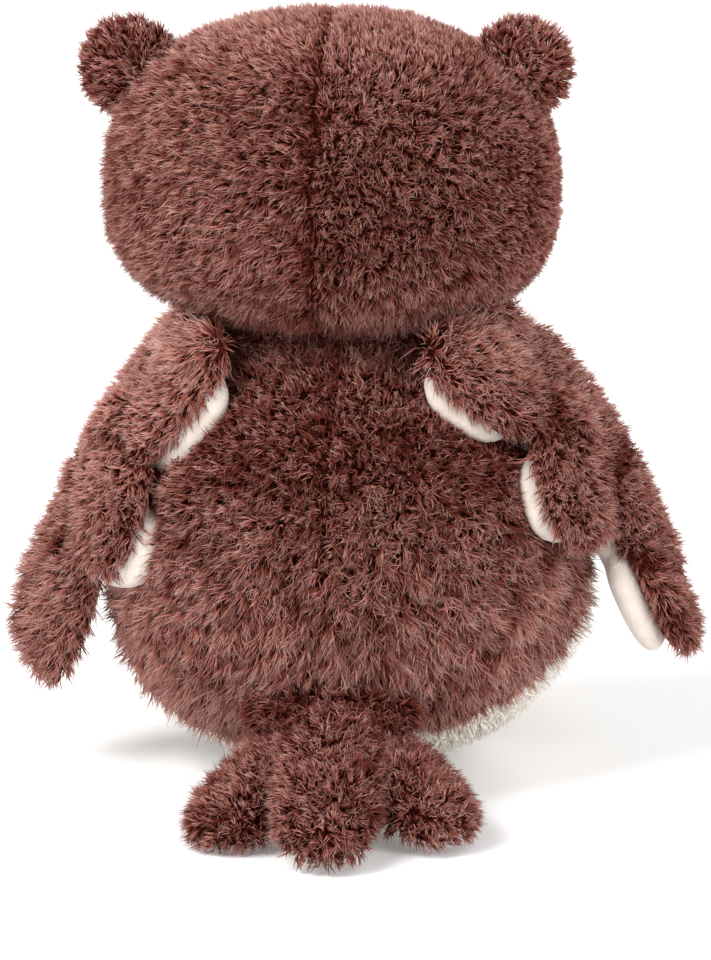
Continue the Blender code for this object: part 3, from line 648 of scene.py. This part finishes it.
for word, wing in (("left", LEFT_WING), ("right", RIGHT_WING)):
    print(word, "feather lengths in mm:", [round(1000 * np.linalg.norm(lobe[1] - lobe[0])) for lobe in wing])

# %% [markdown]
# ## Body
# Two brown panels make the back, sewn down the middle, and one cream panel the belly. The cloth under the pile
# is one stuffed form here, brown or cream by the side of the seam on which a face lies, so that the gaps
# between locks show the right colour.

# %% Body cloth
points, triangles = body_form(CLOTH_DEPTH)
body_cloth = as_piece("body_cloth", points, triangles, BROWN_CLOTH, "torso")
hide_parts("body_back_left", "body_back_right", "belly_panel", "body_stuffing", "bean_bag")
body_cloth.data.materials.append(CREAM_CLOTH)
on_belly = ~on_back(points[triangles].mean(1))
body_cloth.data.polygons.foreach_set("material_index", on_belly.astype(np.int32))
print("cream faces:", int(on_belly.sum()))

# %% [markdown]
# ## The back's pile
# At the shoulders the nap stands out towards the viewer, so that it shows dark between its tips. Lower down it
# hangs in long, broad streaks, painted paler overall as a highlight on the hanging fibres. Where a wing or the
# tail lies on it, it is pressed short and flat, and painted darker as the shade under them. Down the middle
# seam the pile is caught in the stitches: shorter, parted to either side, and painted darker as the shade in
# the parting.

# %% Back pile
PILE_DENSITY = 1.5e6
LOCK_LENGTH = 10.5 * MM
LOCK_WIDTH = 0.54 * MM
HALF_SEAM = 3 * MM
COLLAR = 0.205

roots, normals = scatter(points, triangles, PILE_DENSITY, 11)
brown = on_back(roots) & (roots[:, 2] < COLLAR)
for word, side in (("left", 1), ("right", -1)):
    here = brown & (roots[:, 0] * side > 0)
    p, n = roots[here], normals[here]
    low = np.clip((0.165 - p[:, 2]) / 0.09, 0, 1)
    seam = np.exp(-((p[:, 0] / HALF_SEAM) ** 2)) * (1 - low)
    comb = np.stack([0.5 * p[:, 0] / 0.11 + side * seam * 1.5, np.zeros(len(p)), -np.ones(len(p))], -1)
    squeeze = pressed(p, LEFT_WING + RIGHT_WING + TAIL, 12 * MM, 4 * MM)
    lift = 0.85 - 0.4 * low + 0.14 * waves(p, 0.04, 5) - 0.4 * squeeze
    top = np.clip((p[:, 2] - 0.185) / 0.012, 0, 1)
    flank = np.exp(-(((p[:, 2] - (0.085, 0.05)[side > 0]) / 0.025) ** 2))
    longer, fuller = ((0.2, 0.5), (0.35, 0.3))[side > 0]
    size = LOCK_LENGTH * (1 + longer * low + fuller * flank + 0.5 * top - 0.2 * seam) * (1 - 0.55 * squeeze)
    # Painted highlight: paler lower down. Painted shade: darker in the seam's parting and under the wings and
    # tail.
    tone = 0.27 + 0.38 * low - 0.2 * seam + 0.16 * waves(p, 0.04, 6) - 0.2 * squeeze
    tone += 0.6 * low * waves(p * [1, 1, 0.35], 0.008, 16)
    pull = (0.6 + 0.5 * low)[:, None]
    width = LOCK_WIDTH * (1 + 0.35 * low)
    title = f"body_back_{word}_pile"
    grow_pile(title, p, n, comb, lift, size, width, tone, pull, BROWN_PILE, "torso", 20 + side)

# %% [markdown]
# ## The belly's pile
# Cream plush, a little shorter, in coarser locks. It is fuller at the owl's right flank, where it shows from
# behind, and stops short of the floor, on which the owl sits.

# %% Belly pile
BELLY_DENSITY = 0.45e6
BELLY_LENGTH, BELLY_WIDTH = 9 * MM, 1 * MM

roots, normals = scatter(points, triangles, BELLY_DENSITY, 13)
cream = ~on_back(roots + [0, 1 * MM, 0]) & (roots[:, 2] > 8 * MM)
p, n = roots[cream], normals[cream]
comb = np.stack([p[:, 0] * 3, np.zeros(len(p)), -np.ones(len(p))], -1)
tone = 0.75 + 0.25 * waves(p, 0.02, 3)
right = np.clip(-p[:, 0] / 0.03, 0, 1)
flank = np.exp(-(((p[:, 2] - 0.08) / 0.02) ** 2))
under = np.clip((0.06 - p[:, 2]) / 0.02, 0, 1)
size = BELLY_LENGTH * (1 + right * (0.7 * flank - 0.4 * under))
grow_pile("belly_pile", p, n, comb, 0.5, size, BELLY_WIDTH, tone, 0.3, CREAM_PILE, "torso", 24)

# %% [markdown]
# ## Head
# A broad stuffed form, flatter below than above. Its cloth is one piece here. The face's eye discs, eyes and
# beak get their sizes first, because the pile leaves a bare patch under each disc and the beak.

# %% Head cloth
DISC_RADIUS, DISC_OUT, DISC_UP = 39 * MM, 33 * MM, 4 * MM
EYE_RADIUS, EYE_DOME, EYE_OUT, EYE_UP = 12.5 * MM, 8 * MM, 30 * MM, 6 * MM
BEAK_DOWN, BEAK_HALF = 16 * MM, (10.5 * MM, 15 * MM, 14.5 * MM)

points, triangles = head_form(CLOTH_DEPTH)
head_cloth = as_piece("head_cloth", points, triangles, BROWN_CLOTH, "head")
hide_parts("head_back_left", "head_back_right", "face_panel", "head_stuffing")

# %% [markdown]
# ## The head's pile
# The two back panels meet in a seam down the middle, where the pile is painted darker as the shade in its
# parting. The left one's nap is brushed out and down, so that it shows the sides of its pale tips, and the
# right one's points at the viewer, so that it shows dark between them. The crown is painted paler, as the
# highlight from above. The pile is longer under the chin, where it hides the neck, and painted darker there
# as the shade under the head. In the face it is combed away from the eye discs and thinned to two thirds.

# %% Head pile
PANEL_NAPS = {1: (0.9, -0.75, 0.60, 0.30), -1: (-0.4, -0.6, 0.88, 0.40)}

roots, normals = scatter(points, triangles, PILE_DENSITY, 12)
x = roots[:, 0] - HEAD_SHIFT
up = roots[:, 2] - HEAD_EQUATOR
front = roots[:, 1] < FACE_SEAM
on_disc = np.hypot(np.abs(x) - DISC_OUT, up - DISC_UP) < DISC_RADIUS - 1 * MM
on_beak = (x / (BEAK_HALF[0] * 0.9)) ** 2 + ((up + BEAK_DOWN) / (BEAK_HALF[1] * 0.9)) ** 2 < 1
bare = front & (on_disc | on_beak)
crown = np.clip((roots[:, 2] - 0.315) / 0.02, 0, 1)
chin = np.clip((0.225 - roots[:, 2]) / 0.012, 0, 1)
seam = np.exp(-((x / HALF_SEAM) ** 2)) * ~front
round_disc = np.stack([np.sign(x) * (np.abs(x) - DISC_OUT), np.zeros(len(x)), up - DISC_UP], -1)
for word, side in (("left", 1), ("right", -1)):
    across, down, rise, shade = PANEL_NAPS[side]
    for panel, here in (("back", ~front), ("face", front & ~bare & (np.arange(len(x)) % 3 > 0))):
        here = here & (x * side > 0)
        p, n, top, low = roots[here], normals[here], crown[here], chin[here]
        comb = np.stack([
            across + 0.8 * top + side * seam[here] * 1.2,
            1.2 * low * np.sign(p[:, 1]),
            down + 1.25 * top,
        ], -1)
        lift = rise + 0.25 * low + 0.1 * waves(p, 0.05, 7)
        if panel == "face":
            comb = unit(round_disc[here]) + [0, 0, -0.3]
            lift = 0.5 + 0.1 * waves(p, 0.05, 7)
        under = np.clip((0.216 - p[:, 2]) / 0.008, 0, 1) * (p[:, 1] > -0.02)
        size = LOCK_LENGTH * (1.0 - 0.3 * seam[here] + 0.35 * low + 0.5 * under - 0.15 * top)
        wide = np.clip((np.abs(p[:, 0]) - 0.06) / 0.02, 0, 1)
        below = np.clip((-up[here] - 0.025) / 0.02, 0, 1)
        size *= 1 + wide * (0.2 * below if side > 0 else -0.4 * (1 - below))
        size *= 1 - 0.4 * top * np.clip((-p[:, 0] - 0.02) / 0.03, 0, 1)
        # Painted highlight on the crown; painted shade under the chin and in the seam's parting.
        tone = shade + 0.08 + 0.2 * top - 0.25 * seam[here] - 0.3 * low + 0.1 * waves(p, 0.07, 8)
        title = f"head_{panel}_{word}_pile"
        grow_pile(title, p, n, comb, lift, size, LOCK_WIDTH, tone, 0.42, BROWN_PILE, "head", 30 + side)

# %% [markdown]
# ## Neck
# A flat stuffed ring between head and body, in the same plush. It is a body of its own, on which the head turns
# and nods, and its pile fills the crease and hides the swivel.

# %% Neck
NECK_HALF = np.array([54, 36, 11]) * MM
NECK_DENSITY = 0.9e6
points = unit_points(96, 40) * NECK_HALF + [HEAD_SHIFT / 2, 0, 0.2]
triangles = closed_faces(96, 40)
neck_cloth = as_piece("neck_cloth", points, triangles, BROWN_CLOTH, "neck")
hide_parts("neck")
roots, normals = scatter(points, triangles, NECK_DENSITY, 15)
outer = np.hypot(roots[:, 0] / NECK_HALF[0], roots[:, 1] / NECK_HALF[1]) > 0.8
p, n = roots[outer], normals[outer]
comb = n * [1, 1, 0] + [0, 0, -0.2]
tone = 0.3 + 0.1 * waves(p, 0.04, 9)
grow_pile("neck_pile", p, n, comb, 0.6, 0.8 * LOCK_LENGTH, LOCK_WIDTH, tone, 0.5, BROWN_PILE, "neck", 34)

# %% [markdown]
# ## Velour, felt and plastic
# Velour is short-cropped pile: matt, faintly mottled every centimetre or so where the nap turns, with a soft
# sheen at its edges. Its real grain is about 0.3 mm, too fine to show, so it is drawn at 0.9 mm. Felt is
# pressed wool, coarser and with no nap. The eyes are glossy moulded plastic, black right through, and the lock
# washers behind them plain white plastic.


# %% Smooth materials
def cloth_material(name, light, dark, mottle, grain, depth, roughness, sheen):
    """A plain cloth that turns between two colours over a mottle size, with a bump of a grain size."""
    made, tree, shader = new_material(name, roughness)
    place = add_node(tree, "TexCoord")
    patches = add_node(tree, "TexNoise", Vector=(place, "Object"), Scale=1 / mottle, Detail=4.0, Roughness=0.6)
    colour = ramp(tree, (patches, "Fac"), ((0.35, dark), (0.65, light)))
    fine = add_node(tree, "TexNoise", Vector=(place, "Object"), Scale=1 / grain, Detail=3.0)
    bump = add_node(tree, "Bump", Height=(fine, "Fac"), Distance=depth, Strength=0.6)
    tree.links.new(colour.outputs["Color"], shader.inputs["Base Color"])
    tree.links.new(bump.outputs["Normal"], shader.inputs["Normal"])
    shader.inputs["Specular IOR Level"].default_value = 0.2
    shader.inputs["Sheen Weight"].default_value = sheen
    shader.inputs["Sheen Roughness"].default_value = 0.5
    return made


NAP_TURN, VELOUR_GRAIN, VELOUR_DEPTH = 9 * MM, 0.9 * MM, 0.5 * MM
VELOUR = (NAP_TURN, VELOUR_GRAIN, VELOUR_DEPTH, 0.8, 0.3)
CREAM_VELOUR = cloth_material("cream_velour", "DDD1C8", "D2C5BA", *VELOUR)
TAN_VELOUR = cloth_material("tan_velour", "CFA981", "BD9269", *VELOUR)
TAN_FELT = cloth_material("tan_felt", "D6A76B", "C4904F", 5 * MM, 0.7 * MM, 0.6 * MM, 0.9, 0.1)
BLACK_PLASTIC, _, plastic_shader = new_material("black_gloss_plastic", 0.1)
plastic_shader.inputs["Base Color"].default_value = linear("0C0908")
plastic_shader.inputs["Specular IOR Level"].default_value = 0.22
WHITE_PLASTIC, _, washer_shader = new_material("white_moulded_plastic", 0.45)
washer_shader.inputs["Base Color"].default_value = linear("E8E6E0")
print("cloth, felt and plastic:", [made.name for made in (CREAM_VELOUR, TAN_VELOUR, TAN_FELT, BLACK_PLASTIC)])

# %% [markdown]
# ## Stuffed pads
# A wing is several flat feathers sewn as one pad, and the tail and feet are made the same way. Each lobe is a
# blunt ellipsoid from its root to its tip, |x|^2.7 squarish at the ends. A voxel remesh makes one skin of
# them, and a smoothing rounds the folds between them, as stuffing does. Its voxels are 2.2 mm, much smaller
# than a fold.
#
# Stuffing moves a feather a few millimetres from where its pattern puts it, so each lobe has a row of changes.


# %% Pad helpers
PAD_VOXEL = 2.2 * MM


def pad_form(frames, inset, half_thickness, sink, changes):
    """One smooth closed skin round the lobes, moved in by an inset. A lobe's change, in mm, is how far it moves
    right, down and towards the camera of the picture, and how much its root and its tip are shortened."""
    grid = unit_points(28, 17)
    blunt = plump(grid, (1, 1), 1, 1, 2.7, 2.7)
    faces = closed_faces(28, 17)
    points, triangles = [], []
    for number, ((start, end, width, along, face), change) in enumerate(zip(frames, changes)):
        right, down, near, root_trim, tip_trim = np.array(change) * MM
        shift = right * PICTURE_RIGHT + down * PICTURE_DOWN + near * np.array(back)
        start, end = start + along * root_trim, end - along * tip_trim
        half_length = np.linalg.norm(end - start) / 2 - inset
        across = np.cross(along, face)
        turn = np.stack([across, face, along])
        place = (start + end) / 2 - face * sink + shift
        points.append(blunt * [width - inset, half_thickness, half_length] @ turn + place)
        triangles.append(faces + number * len(blunt))
    return remeshed(np.concatenate(points), np.concatenate(triangles), PAD_VOXEL)


def remeshed(points, triangles, voxel):
    """One closed skin round overlapping closed forms, from a voxel remesh and a smoothing."""
    mesh = bpy.data.meshes.new("form")
    mesh.from_pydata(points, [], triangles)
    form = bpy.data.objects.new("form", mesh)
    bpy.context.scene.collection.objects.link(form)
    skin = form.modifiers.new("skin", "REMESH")
    skin.mode = "VOXEL"
    skin.voxel_size = voxel
    ease = form.modifiers.new("ease", "SMOOTH")
    ease.iterations = 6
    graph = bpy.context.evaluated_depsgraph_get()
    made = form.evaluated_get(graph).to_mesh()
    made.calc_loop_triangles()
    found = np.empty(len(made.vertices) * 3, np.float32)
    made.vertices.foreach_get("co", found)
    corners = np.empty(len(made.loop_triangles) * 3, np.int32)
    made.loop_triangles.foreach_get("vertices", corners)
    bpy.data.objects.remove(form)
    bpy.data.meshes.remove(mesh)
    return found.reshape(-1, 3).astype(float), corners.reshape(-1, 3)


def lobe_field(points, frames):
    """The way along and facing of the nearest lobes, blended by exp(-3 times the squared distance in lobes),
    and how evenly two lobes share a point, which is 1 in the fold between them."""
    way, facing, total, most = np.zeros_like(points), np.zeros_like(points), 0, 0
    for start, end, width, along, face in frames:
        half = np.linalg.norm(end - start) / 2
        local = points - (start + end) / 2
        across = np.cross(along, face)
        distance = (local @ along / half) ** 2 + (local @ across / width) ** 2
        weight = np.exp(-3 * distance)[:, None] + 1e-9
        way += weight * (along + 0.5 * (local @ across / width)[:, None] * across)
        facing += weight * face
        total, most = total + weight, np.maximum(most, weight)
    fold = np.clip((0.72 - (most / total)[:, 0]) / 0.2, 0, 1)
    return unit(way / total), unit(facing / total), fold


# %% [markdown]
# ## Wings
# Each wing has a brown plush face and a cream velour lining. The lining is cut a little larger towards the
# body and rolls round the lower edges, so that a cream crescent shows at each feather's inner side. One more
# lobe carries the cover over the shoulder, in under the head. The pile lies shorter in the folds and where it
# turns under, longer at the shoulder, and on the left wing longer at the tip too. In the folds it is painted
# darker, as the shade there, and the left wing is painted paler than the right, and paler still above, as the
# light from the upper left.

# %% Wing shapes
STILL = (0, 0, 0, 0, 0)
SHOULDERS = {
    "left": ((0.50, 0.42, 0.975), (0.70, 0.14, 0.985), 0.10, 40),
    "right": ((0.42, 0.44, 1.0), (0.70, 0.12, 1.01), 0.10, 40),
}
LEFT_COVER = (STILL, (1.7, 0, 0, 0, 0), (-3, -2.5, 0, -3, 0), (1, -3, 0, -4, 0), (5, 0, 0, 0, 0), STILL)
LEFT_LINING = (
    (0, 0, 0, 6, 10),
    (2, 0, 0, 4, 14),
    (-2, 4, 6, 12, 5),
    (1, 2.5, 5, 38, 1),
    (-1.5, -1, 2, 5, 13),
)
RIGHT_COVER = (
    (1, -1, 0, 0, 0),
    (-0.8, -1, 0, 0, 2),
    (-2, -4.5, 0, -3, 0),
    (-1, -2, 0, -4, 0),
    (1, -2, 0, 0, 2),
    STILL,
)
RIGHT_LINING = (
    (0, 0, 0, 6, 10),
    (-2, 0, 0, 4, 14),
    (-5.5, -1, 3, 8, 8),
    (-2, 0.5, 3, 20, 8),
    (-1.5, 0.5, 1, 2, 10),
)

WINGS = (
    ("left", 1, LEFT_WING, LEFT_COVER, LEFT_LINING),
    ("right", -1, RIGHT_WING, RIGHT_COVER, RIGHT_LINING),
)

# %% Wings
COVER_INSET, COVER_HALF, COVER_SINK = 5.5 * MM, 7.5 * MM, -1 * MM
LINING_INSET, LINING_HALF, LINING_SINK = 2.5 * MM, 8 * MM, 7 * MM
TURNED_UNDER = -0.6

for word, side, frames, cover_changes, lining_changes in WINGS:
    body = f"wing_{word}"
    whole = frames + lobe_frames([SHOULDERS[word]], side)
    points, triangles = pad_form(whole, COVER_INSET, COVER_HALF, COVER_SINK, cover_changes)
    cover = as_piece(f"wing_{word}_cloth", points, triangles, BROWN_CLOTH, body)
    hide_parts(f"wing_{word}_cover", f"wing_{word}_filling")
    roots, normals = scatter(points, triangles, PILE_DENSITY, 14 + side)
    way, facing, fold = lobe_field(roots, frames)
    outer = (normals * facing).sum(1) > TURNED_UNDER
    p, n, way, fold = roots[outer], normals[outer], way[outer], fold[outer]
    away = 1 - (n * facing[outer]).sum(1)
    rim, under = np.clip(away, 0, 1), np.clip((away - 1.15) / 0.1, 0, 1)
    lift = 0.68 - 0.24 * rim - 0.3 * under + 0.12 * waves(p, 0.04, 9)
    # Painted light from the upper left on the left wing, and painted shade in the folds.
    tone = (0.7 if side > 0 else 0.64) + 0.14 * waves(p, 0.05, 10) - 0.5 * fold
    tone += 0.2 * np.clip((p[:, 2] - 0.12) / 0.04, 0, 1) * (side > 0)
    shoulder = np.clip((p[:, 2] - 0.19) / 0.012, 0, 1)
    tip = np.clip((0.12 - p[:, 2]) / 0.03, 0, 1) * (side > 0)
    size = LOCK_LENGTH * (0.95 - 0.25 * fold + 0.4 * shoulder + 0.35 * tip) * (1 - 0.6 * under)
    grow_pile(f"wing_{word}_pile", p, n, way, lift, size, LOCK_WIDTH, tone, 0.55, BROWN_PILE, body, 40 + side)

    points, triangles = pad_form(frames, LINING_INSET, LINING_HALF, LINING_SINK, lining_changes)
    lining = as_piece(f"wing_{word}_velour", points, triangles, CREAM_VELOUR, body)
    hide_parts(f"wing_{word}_lining")

# %% [markdown]
# ## Tail
# Three lobes spread over the floor like a fan, brown above and cream below. A lobe across their roots joins
# them to the body's seam, where the pile is painted darker as the shade under the body; the folds between the
# lobes are painted darker too, as shade. The pad's underside is flat, because it lies on the floor.

# %% Tail
TAIL_ROOT = ((0.36, 0.90, 0.225), (-0.40, 0.90, 0.225), 0.085, None)
TAIL_COVER = [(1, 1.5, 0, 0, -1), (1.5, 2, 0, 9, 0), (-0.5, 3.5, 2, 7, 1), STILL]
TAIL_LINING = [(0, 0, 0, 0, 1), (0, 0, 0, 0, 3), (0, 0, 0, 0, 3)]
COVER_BOTTOM, LINING_BOTTOM = 4 * MM, 0.3 * MM

frames = TAIL + lobe_frames([TAIL_ROOT], 1)
points, triangles = pad_form(frames, 6.5 * MM, 11 * MM, 1 * MM, TAIL_COVER)
points[:, 2] = np.maximum(points[:, 2], COVER_BOTTOM)
cover = as_piece("tail_cloth", points, triangles, BROWN_CLOTH, "tail")
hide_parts("tail_cover", "tail_filling")
roots, normals = scatter(points, triangles, PILE_DENSITY, 17)
way, facing, fold = lobe_field(roots, TAIL)
outer = (normals * facing).sum(1) > TURNED_UNDER
p, n, way, fold = roots[outer], normals[outer], way[outer], fold[outer]
lift = 0.72 + 0.12 * waves(p, 0.04, 9)
size = LOCK_LENGTH * (1 - 0.2 * fold)
at_root = np.clip((0.125 - p[:, 1]) / 0.03, 0, 1)
# Painted shade in the folds and at the root, under the body.
tone = 0.44 + 0.12 * waves(p, 0.05, 10) - 0.3 * fold - 0.3 * at_root
grow_pile("tail_pile", p, n, way, lift, size, LOCK_WIDTH, tone, 0.6, BROWN_PILE, "tail", 50)

points, triangles = pad_form(TAIL, 7 * MM, 8 * MM, 9 * MM, TAIL_LINING)
points[:, 2] = np.maximum(points[:, 2], LINING_BOTTOM)
lining = as_piece("tail_velour", points, triangles, CREAM_VELOUR, "tail")
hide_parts("tail_lining")

# %% [markdown]
# ## Ears
# Two flat round tufts at the head's upper corners, plush behind and velour in front. They are sewn on by hand,
# so one sits a little higher than the other. Their pile spreads from the ear's lower middle.

# %% Ears
EAR_HALF = np.array([24.5, 13.5, 24.5]) * MM
EAR_INSET = 5.5 * MM
EAR_LEAN = math.radians(38)
EAR_MIDDLE = HEAD_SHIFT + 4.2 * MM
EAR_RISE = {1: -2.2 * MM, -1: 1.7 * MM}

for word, side in (("left", 1), ("right", -1)):
    place = np.array([
        EAR_MIDDLE + side * 0.84 * HEAD_HALF[0],
        0,
        HEAD_EQUATOR + 0.66 * HEAD_UP + EAR_RISE[side],
    ])
    c, s = math.cos(side * EAR_LEAN), math.sin(side * EAR_LEAN)
    turn = np.array([[c, 0, s], [0, 1, 0], [-s, 0, c]])
    points = unit_points(48, 28) * (EAR_HALF - EAR_INSET) @ turn.T + place
    triangles = closed_faces(48, 28)
    ear = as_piece(f"ear_{word}_cloth", points, triangles, BROWN_CLOTH, "head")
    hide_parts(f"ear_{word}_back")
    roots, normals = scatter(points, triangles, PILE_DENSITY * 1.1, 60 + side)
    behind = roots[:, 1] > -6 * MM
    p, n = roots[behind], normals[behind]
    comb = p - place + turn @ [0, 0, 0.01]
    tone = 0.42 - 0.08 * side + 0.1 * waves(p, 0.03, 10)
    size = np.full((len(p), 1), 0.85 * LOCK_LENGTH)
    grow_pile(f"ear_{word}_pile", p, n, comb, 0.6, size, LOCK_WIDTH, tone, 0.5, BROWN_PILE, "head", 62 + side)

    points = unit_points(48, 28) * (EAR_HALF * [0.72, 0.45, 0.72]) @ turn.T + place + [0, -6 * MM, 0]
    lining = as_piece(f"ear_{word}_velour", points, closed_faces(48, 28), CREAM_VELOUR, "head")
    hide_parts(f"ear_{word}_lining")

# %% [markdown]
# ## Face
# The photograph doesn't show the front, so the face is a plain one: two velour discs, two glossy eyes and a
# felt beak. A disc follows the head's own surface: depth = half depth times sqrt(r^2 - x^2), where r is the
# radius of the head at that height. It could be laid on the face with a Shrinkwrap, but the formula is exact.


# %% Face helpers
def head_front(out, up, proud):
    """The front surface of the head, some way proud of it."""
    rise = np.where(up > 0, HEAD_UP, HEAD_DOWN) + proud
    power = np.where(up > 0, *HEAD_POWERS)
    radius = (1 - np.minimum(np.abs(up) / rise, 0.999) ** power) ** (1 / power)
    inside = np.maximum(radius**2 - (out / (HEAD_HALF[0] + proud)) ** 2, 0)
    return np.stack([HEAD_SHIFT + out, -(HEAD_HALF[1] + proud) * np.sqrt(inside), HEAD_EQUATOR + up], -1)


def patch(centre_out, centre_up, radius, inner, outer, side):
    """A padded round patch on the head's front, cut off at the head's middle, with a rolled edge."""
    turn = np.arange(96) / 96 * 2 * np.pi
    share = np.concatenate([
        np.linspace(0.02, 0.97, 40), [0.99, 1.0],
        [0.99, 0.9], np.linspace(0.8, 0.02, 12),
    ])
    depth = np.concatenate([
        outer - (outer - inner) * 0.12 * np.linspace(0, 1, 40) ** 6,
        [outer - (outer - inner) * 0.3, (outer + inner) / 2],
        [inner + (outer - inner) * 0.2, inner],
        np.full(12, inner),
    ])
    out = centre_out + radius * share[:, None] * np.cos(turn)
    out = np.where(out * side > 0.6 * MM, out, side * 0.6 * MM)
    up = centre_up + radius * share[:, None] * np.sin(turn) * side
    ring = head_front(out, up, depth[:, None] * np.ones(96))
    first = head_front(np.array([centre_out]), np.array([centre_up]), outer)
    last = head_front(np.array([centre_out]), np.array([centre_up]), inner)
    return np.concatenate([first, ring.reshape(-1, 3), last]), closed_faces(96, len(share))


# %% [markdown]
# ## Eye discs and eyes
# Each disc is a padded patch of velour, sewn down round its rim, and the two meet at the middle of the face. An
# eye is a moulded dome that stands square to its disc. Its shank goes through the cloth to a lock washer, which
# is the CAD model's own.

# %% Eye discs and eyes
DISC_PROUD, DISC_SUNK = 2.5 * MM, 6.5 * MM
PROBE = 0.5 * MM

for word, side in (("left", 1), ("right", -1)):
    points, triangles = patch(side * DISC_OUT, DISC_UP, DISC_RADIUS, -DISC_SUNK, DISC_PROUD, side)
    disc = as_piece(f"eye_disc_{word}_velour", points, triangles, CREAM_VELOUR, "head")
    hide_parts(f"eye_disc_{word}")

    out, up = np.array([side * EYE_OUT]), np.array([EYE_UP])
    place = head_front(out, up, DISC_PROUD)[0]
    beside = head_front(out + PROBE, up, DISC_PROUD)[0] - head_front(out - PROBE, up, DISC_PROUD)[0]
    above = head_front(out, up + PROBE, DISC_PROUD)[0] - head_front(out, up - PROBE, DISC_PROUD)[0]
    outward = np.cross(beside, above)
    stand = np.array(Vector(outward).to_track_quat("Z", "Y").to_matrix())
    points = unit_points(64, 40) * [EYE_RADIUS, EYE_RADIUS, EYE_DOME] @ stand.T + place
    eye = as_piece(f"eye_{word}_dome", points, closed_faces(64, 40), BLACK_PLASTIC, "head")
    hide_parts(f"eye_{word}")
    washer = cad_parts[f"eye_washer_{word}"]
    washer.data.materials.clear()
    washer.data.materials.append(WHITE_PLASTIC)

# %% [markdown]
# ## Beak
# A small stuffed felt cone, flat where it is sewn on. It is an ellipsoid that tapers below its middle, by 0.38
# of the share of the way down to the power 1.5, and hooks forward a little with the square of that share.

# %% Beak
BEAK_TAPER, BEAK_HOOK = 0.38, 0.25

grid = unit_points(64, 40)
fall = np.clip(-grid[:, 2], 0, 1)
taper = 1 - BEAK_TAPER * fall**1.5
points = grid * BEAK_HALF * np.stack([taper, taper, np.ones_like(taper)], -1)
points[:, 1] = -points[:, 1]
points[:, 1] -= BEAK_HOOK * BEAK_HALF[1] * fall**2 * 0.4
points[:, 1] = np.where(points[:, 1] > 0.5 * BEAK_HALF[1], 0.5 * BEAK_HALF[1], points[:, 1])
beak = as_piece(
    "beak_felt",
    points + head_front(np.array([0.0]), np.array([-BEAK_DOWN]), 0.0)[0],
    closed_faces(64, 40)[:, ::-1],
    TAN_FELT,
    "head",
)
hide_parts("beak")

# %% [markdown]
# ## Feet
# Two short velour feet with three toes each and a cream sole, seated against the belly. A foot is a flat
# ellipsoid with three smaller ones as toes, in one skin, and the sole is the same plan again, pressed thin.

# %% Feet
FOOT_OUT, FOOT_FRONT, FOOT_HALF, FOOT_HEIGHT = 44 * MM, 96.3 * MM, (27 * MM, 38 * MM), 28 * MM
TOE_RADIUS, TOE_LONG = 11.5 * MM, 1.35
TOES = ((-0.62, 0.72), (0.0, 0.90), (0.62, 0.72))
UPPER_BOTTOM, SOLE_HALF = 2.6 * MM, 2.4 * MM
UPPER_VOXEL, SOLE_VOXEL = 1.8 * MM, 0.9 * MM

for word, side in (("left", 1), ("right", -1)):
    middle = np.array([side * FOOT_OUT, -FOOT_FRONT, FOOT_HEIGHT / 2])
    parts = [(middle, (*FOOT_HALF, FOOT_HEIGHT / 2))]
    for spread, reach in TOES:
        toe = middle + [spread * FOOT_HALF[0], -reach * FOOT_HALF[1], 0]
        toe[2] = TOE_RADIUS
        parts.append((toe, (TOE_RADIUS, TOE_RADIUS * TOE_LONG, TOE_RADIUS)))
    grid, faces = unit_points(32, 20), closed_faces(32, 20)
    points = np.concatenate([grid * half + place for place, half in parts])
    triangles = np.concatenate([faces + k * len(grid) for k in range(len(parts))])
    points, triangles = remeshed(points, triangles, UPPER_VOXEL)
    upper = points.copy()
    upper[:, 2] = np.maximum(upper[:, 2], UPPER_BOTTOM)
    foot = as_piece(f"foot_{word}_velour", upper, triangles, TAN_VELOUR, f"foot_{word}")
    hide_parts(f"foot_{word}_upper", f"foot_{word}_filling")
    flat = [
        grid * [half[0] * 0.86, half[1] * 0.9, SOLE_HALF] + [*place[:2], SOLE_HALF + 0.2 * MM]
        for place, half in parts
    ]
    pads = np.concatenate([faces + k * len(grid) for k in range(len(parts))])
    lower, triangles = remeshed(np.concatenate(flat), pads, SOLE_VOXEL)
    sole = as_piece(f"foot_{word}_sole_velour", lower, triangles, CREAM_VELOUR, f"foot_{word}")
    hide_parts(f"foot_{word}_sole")
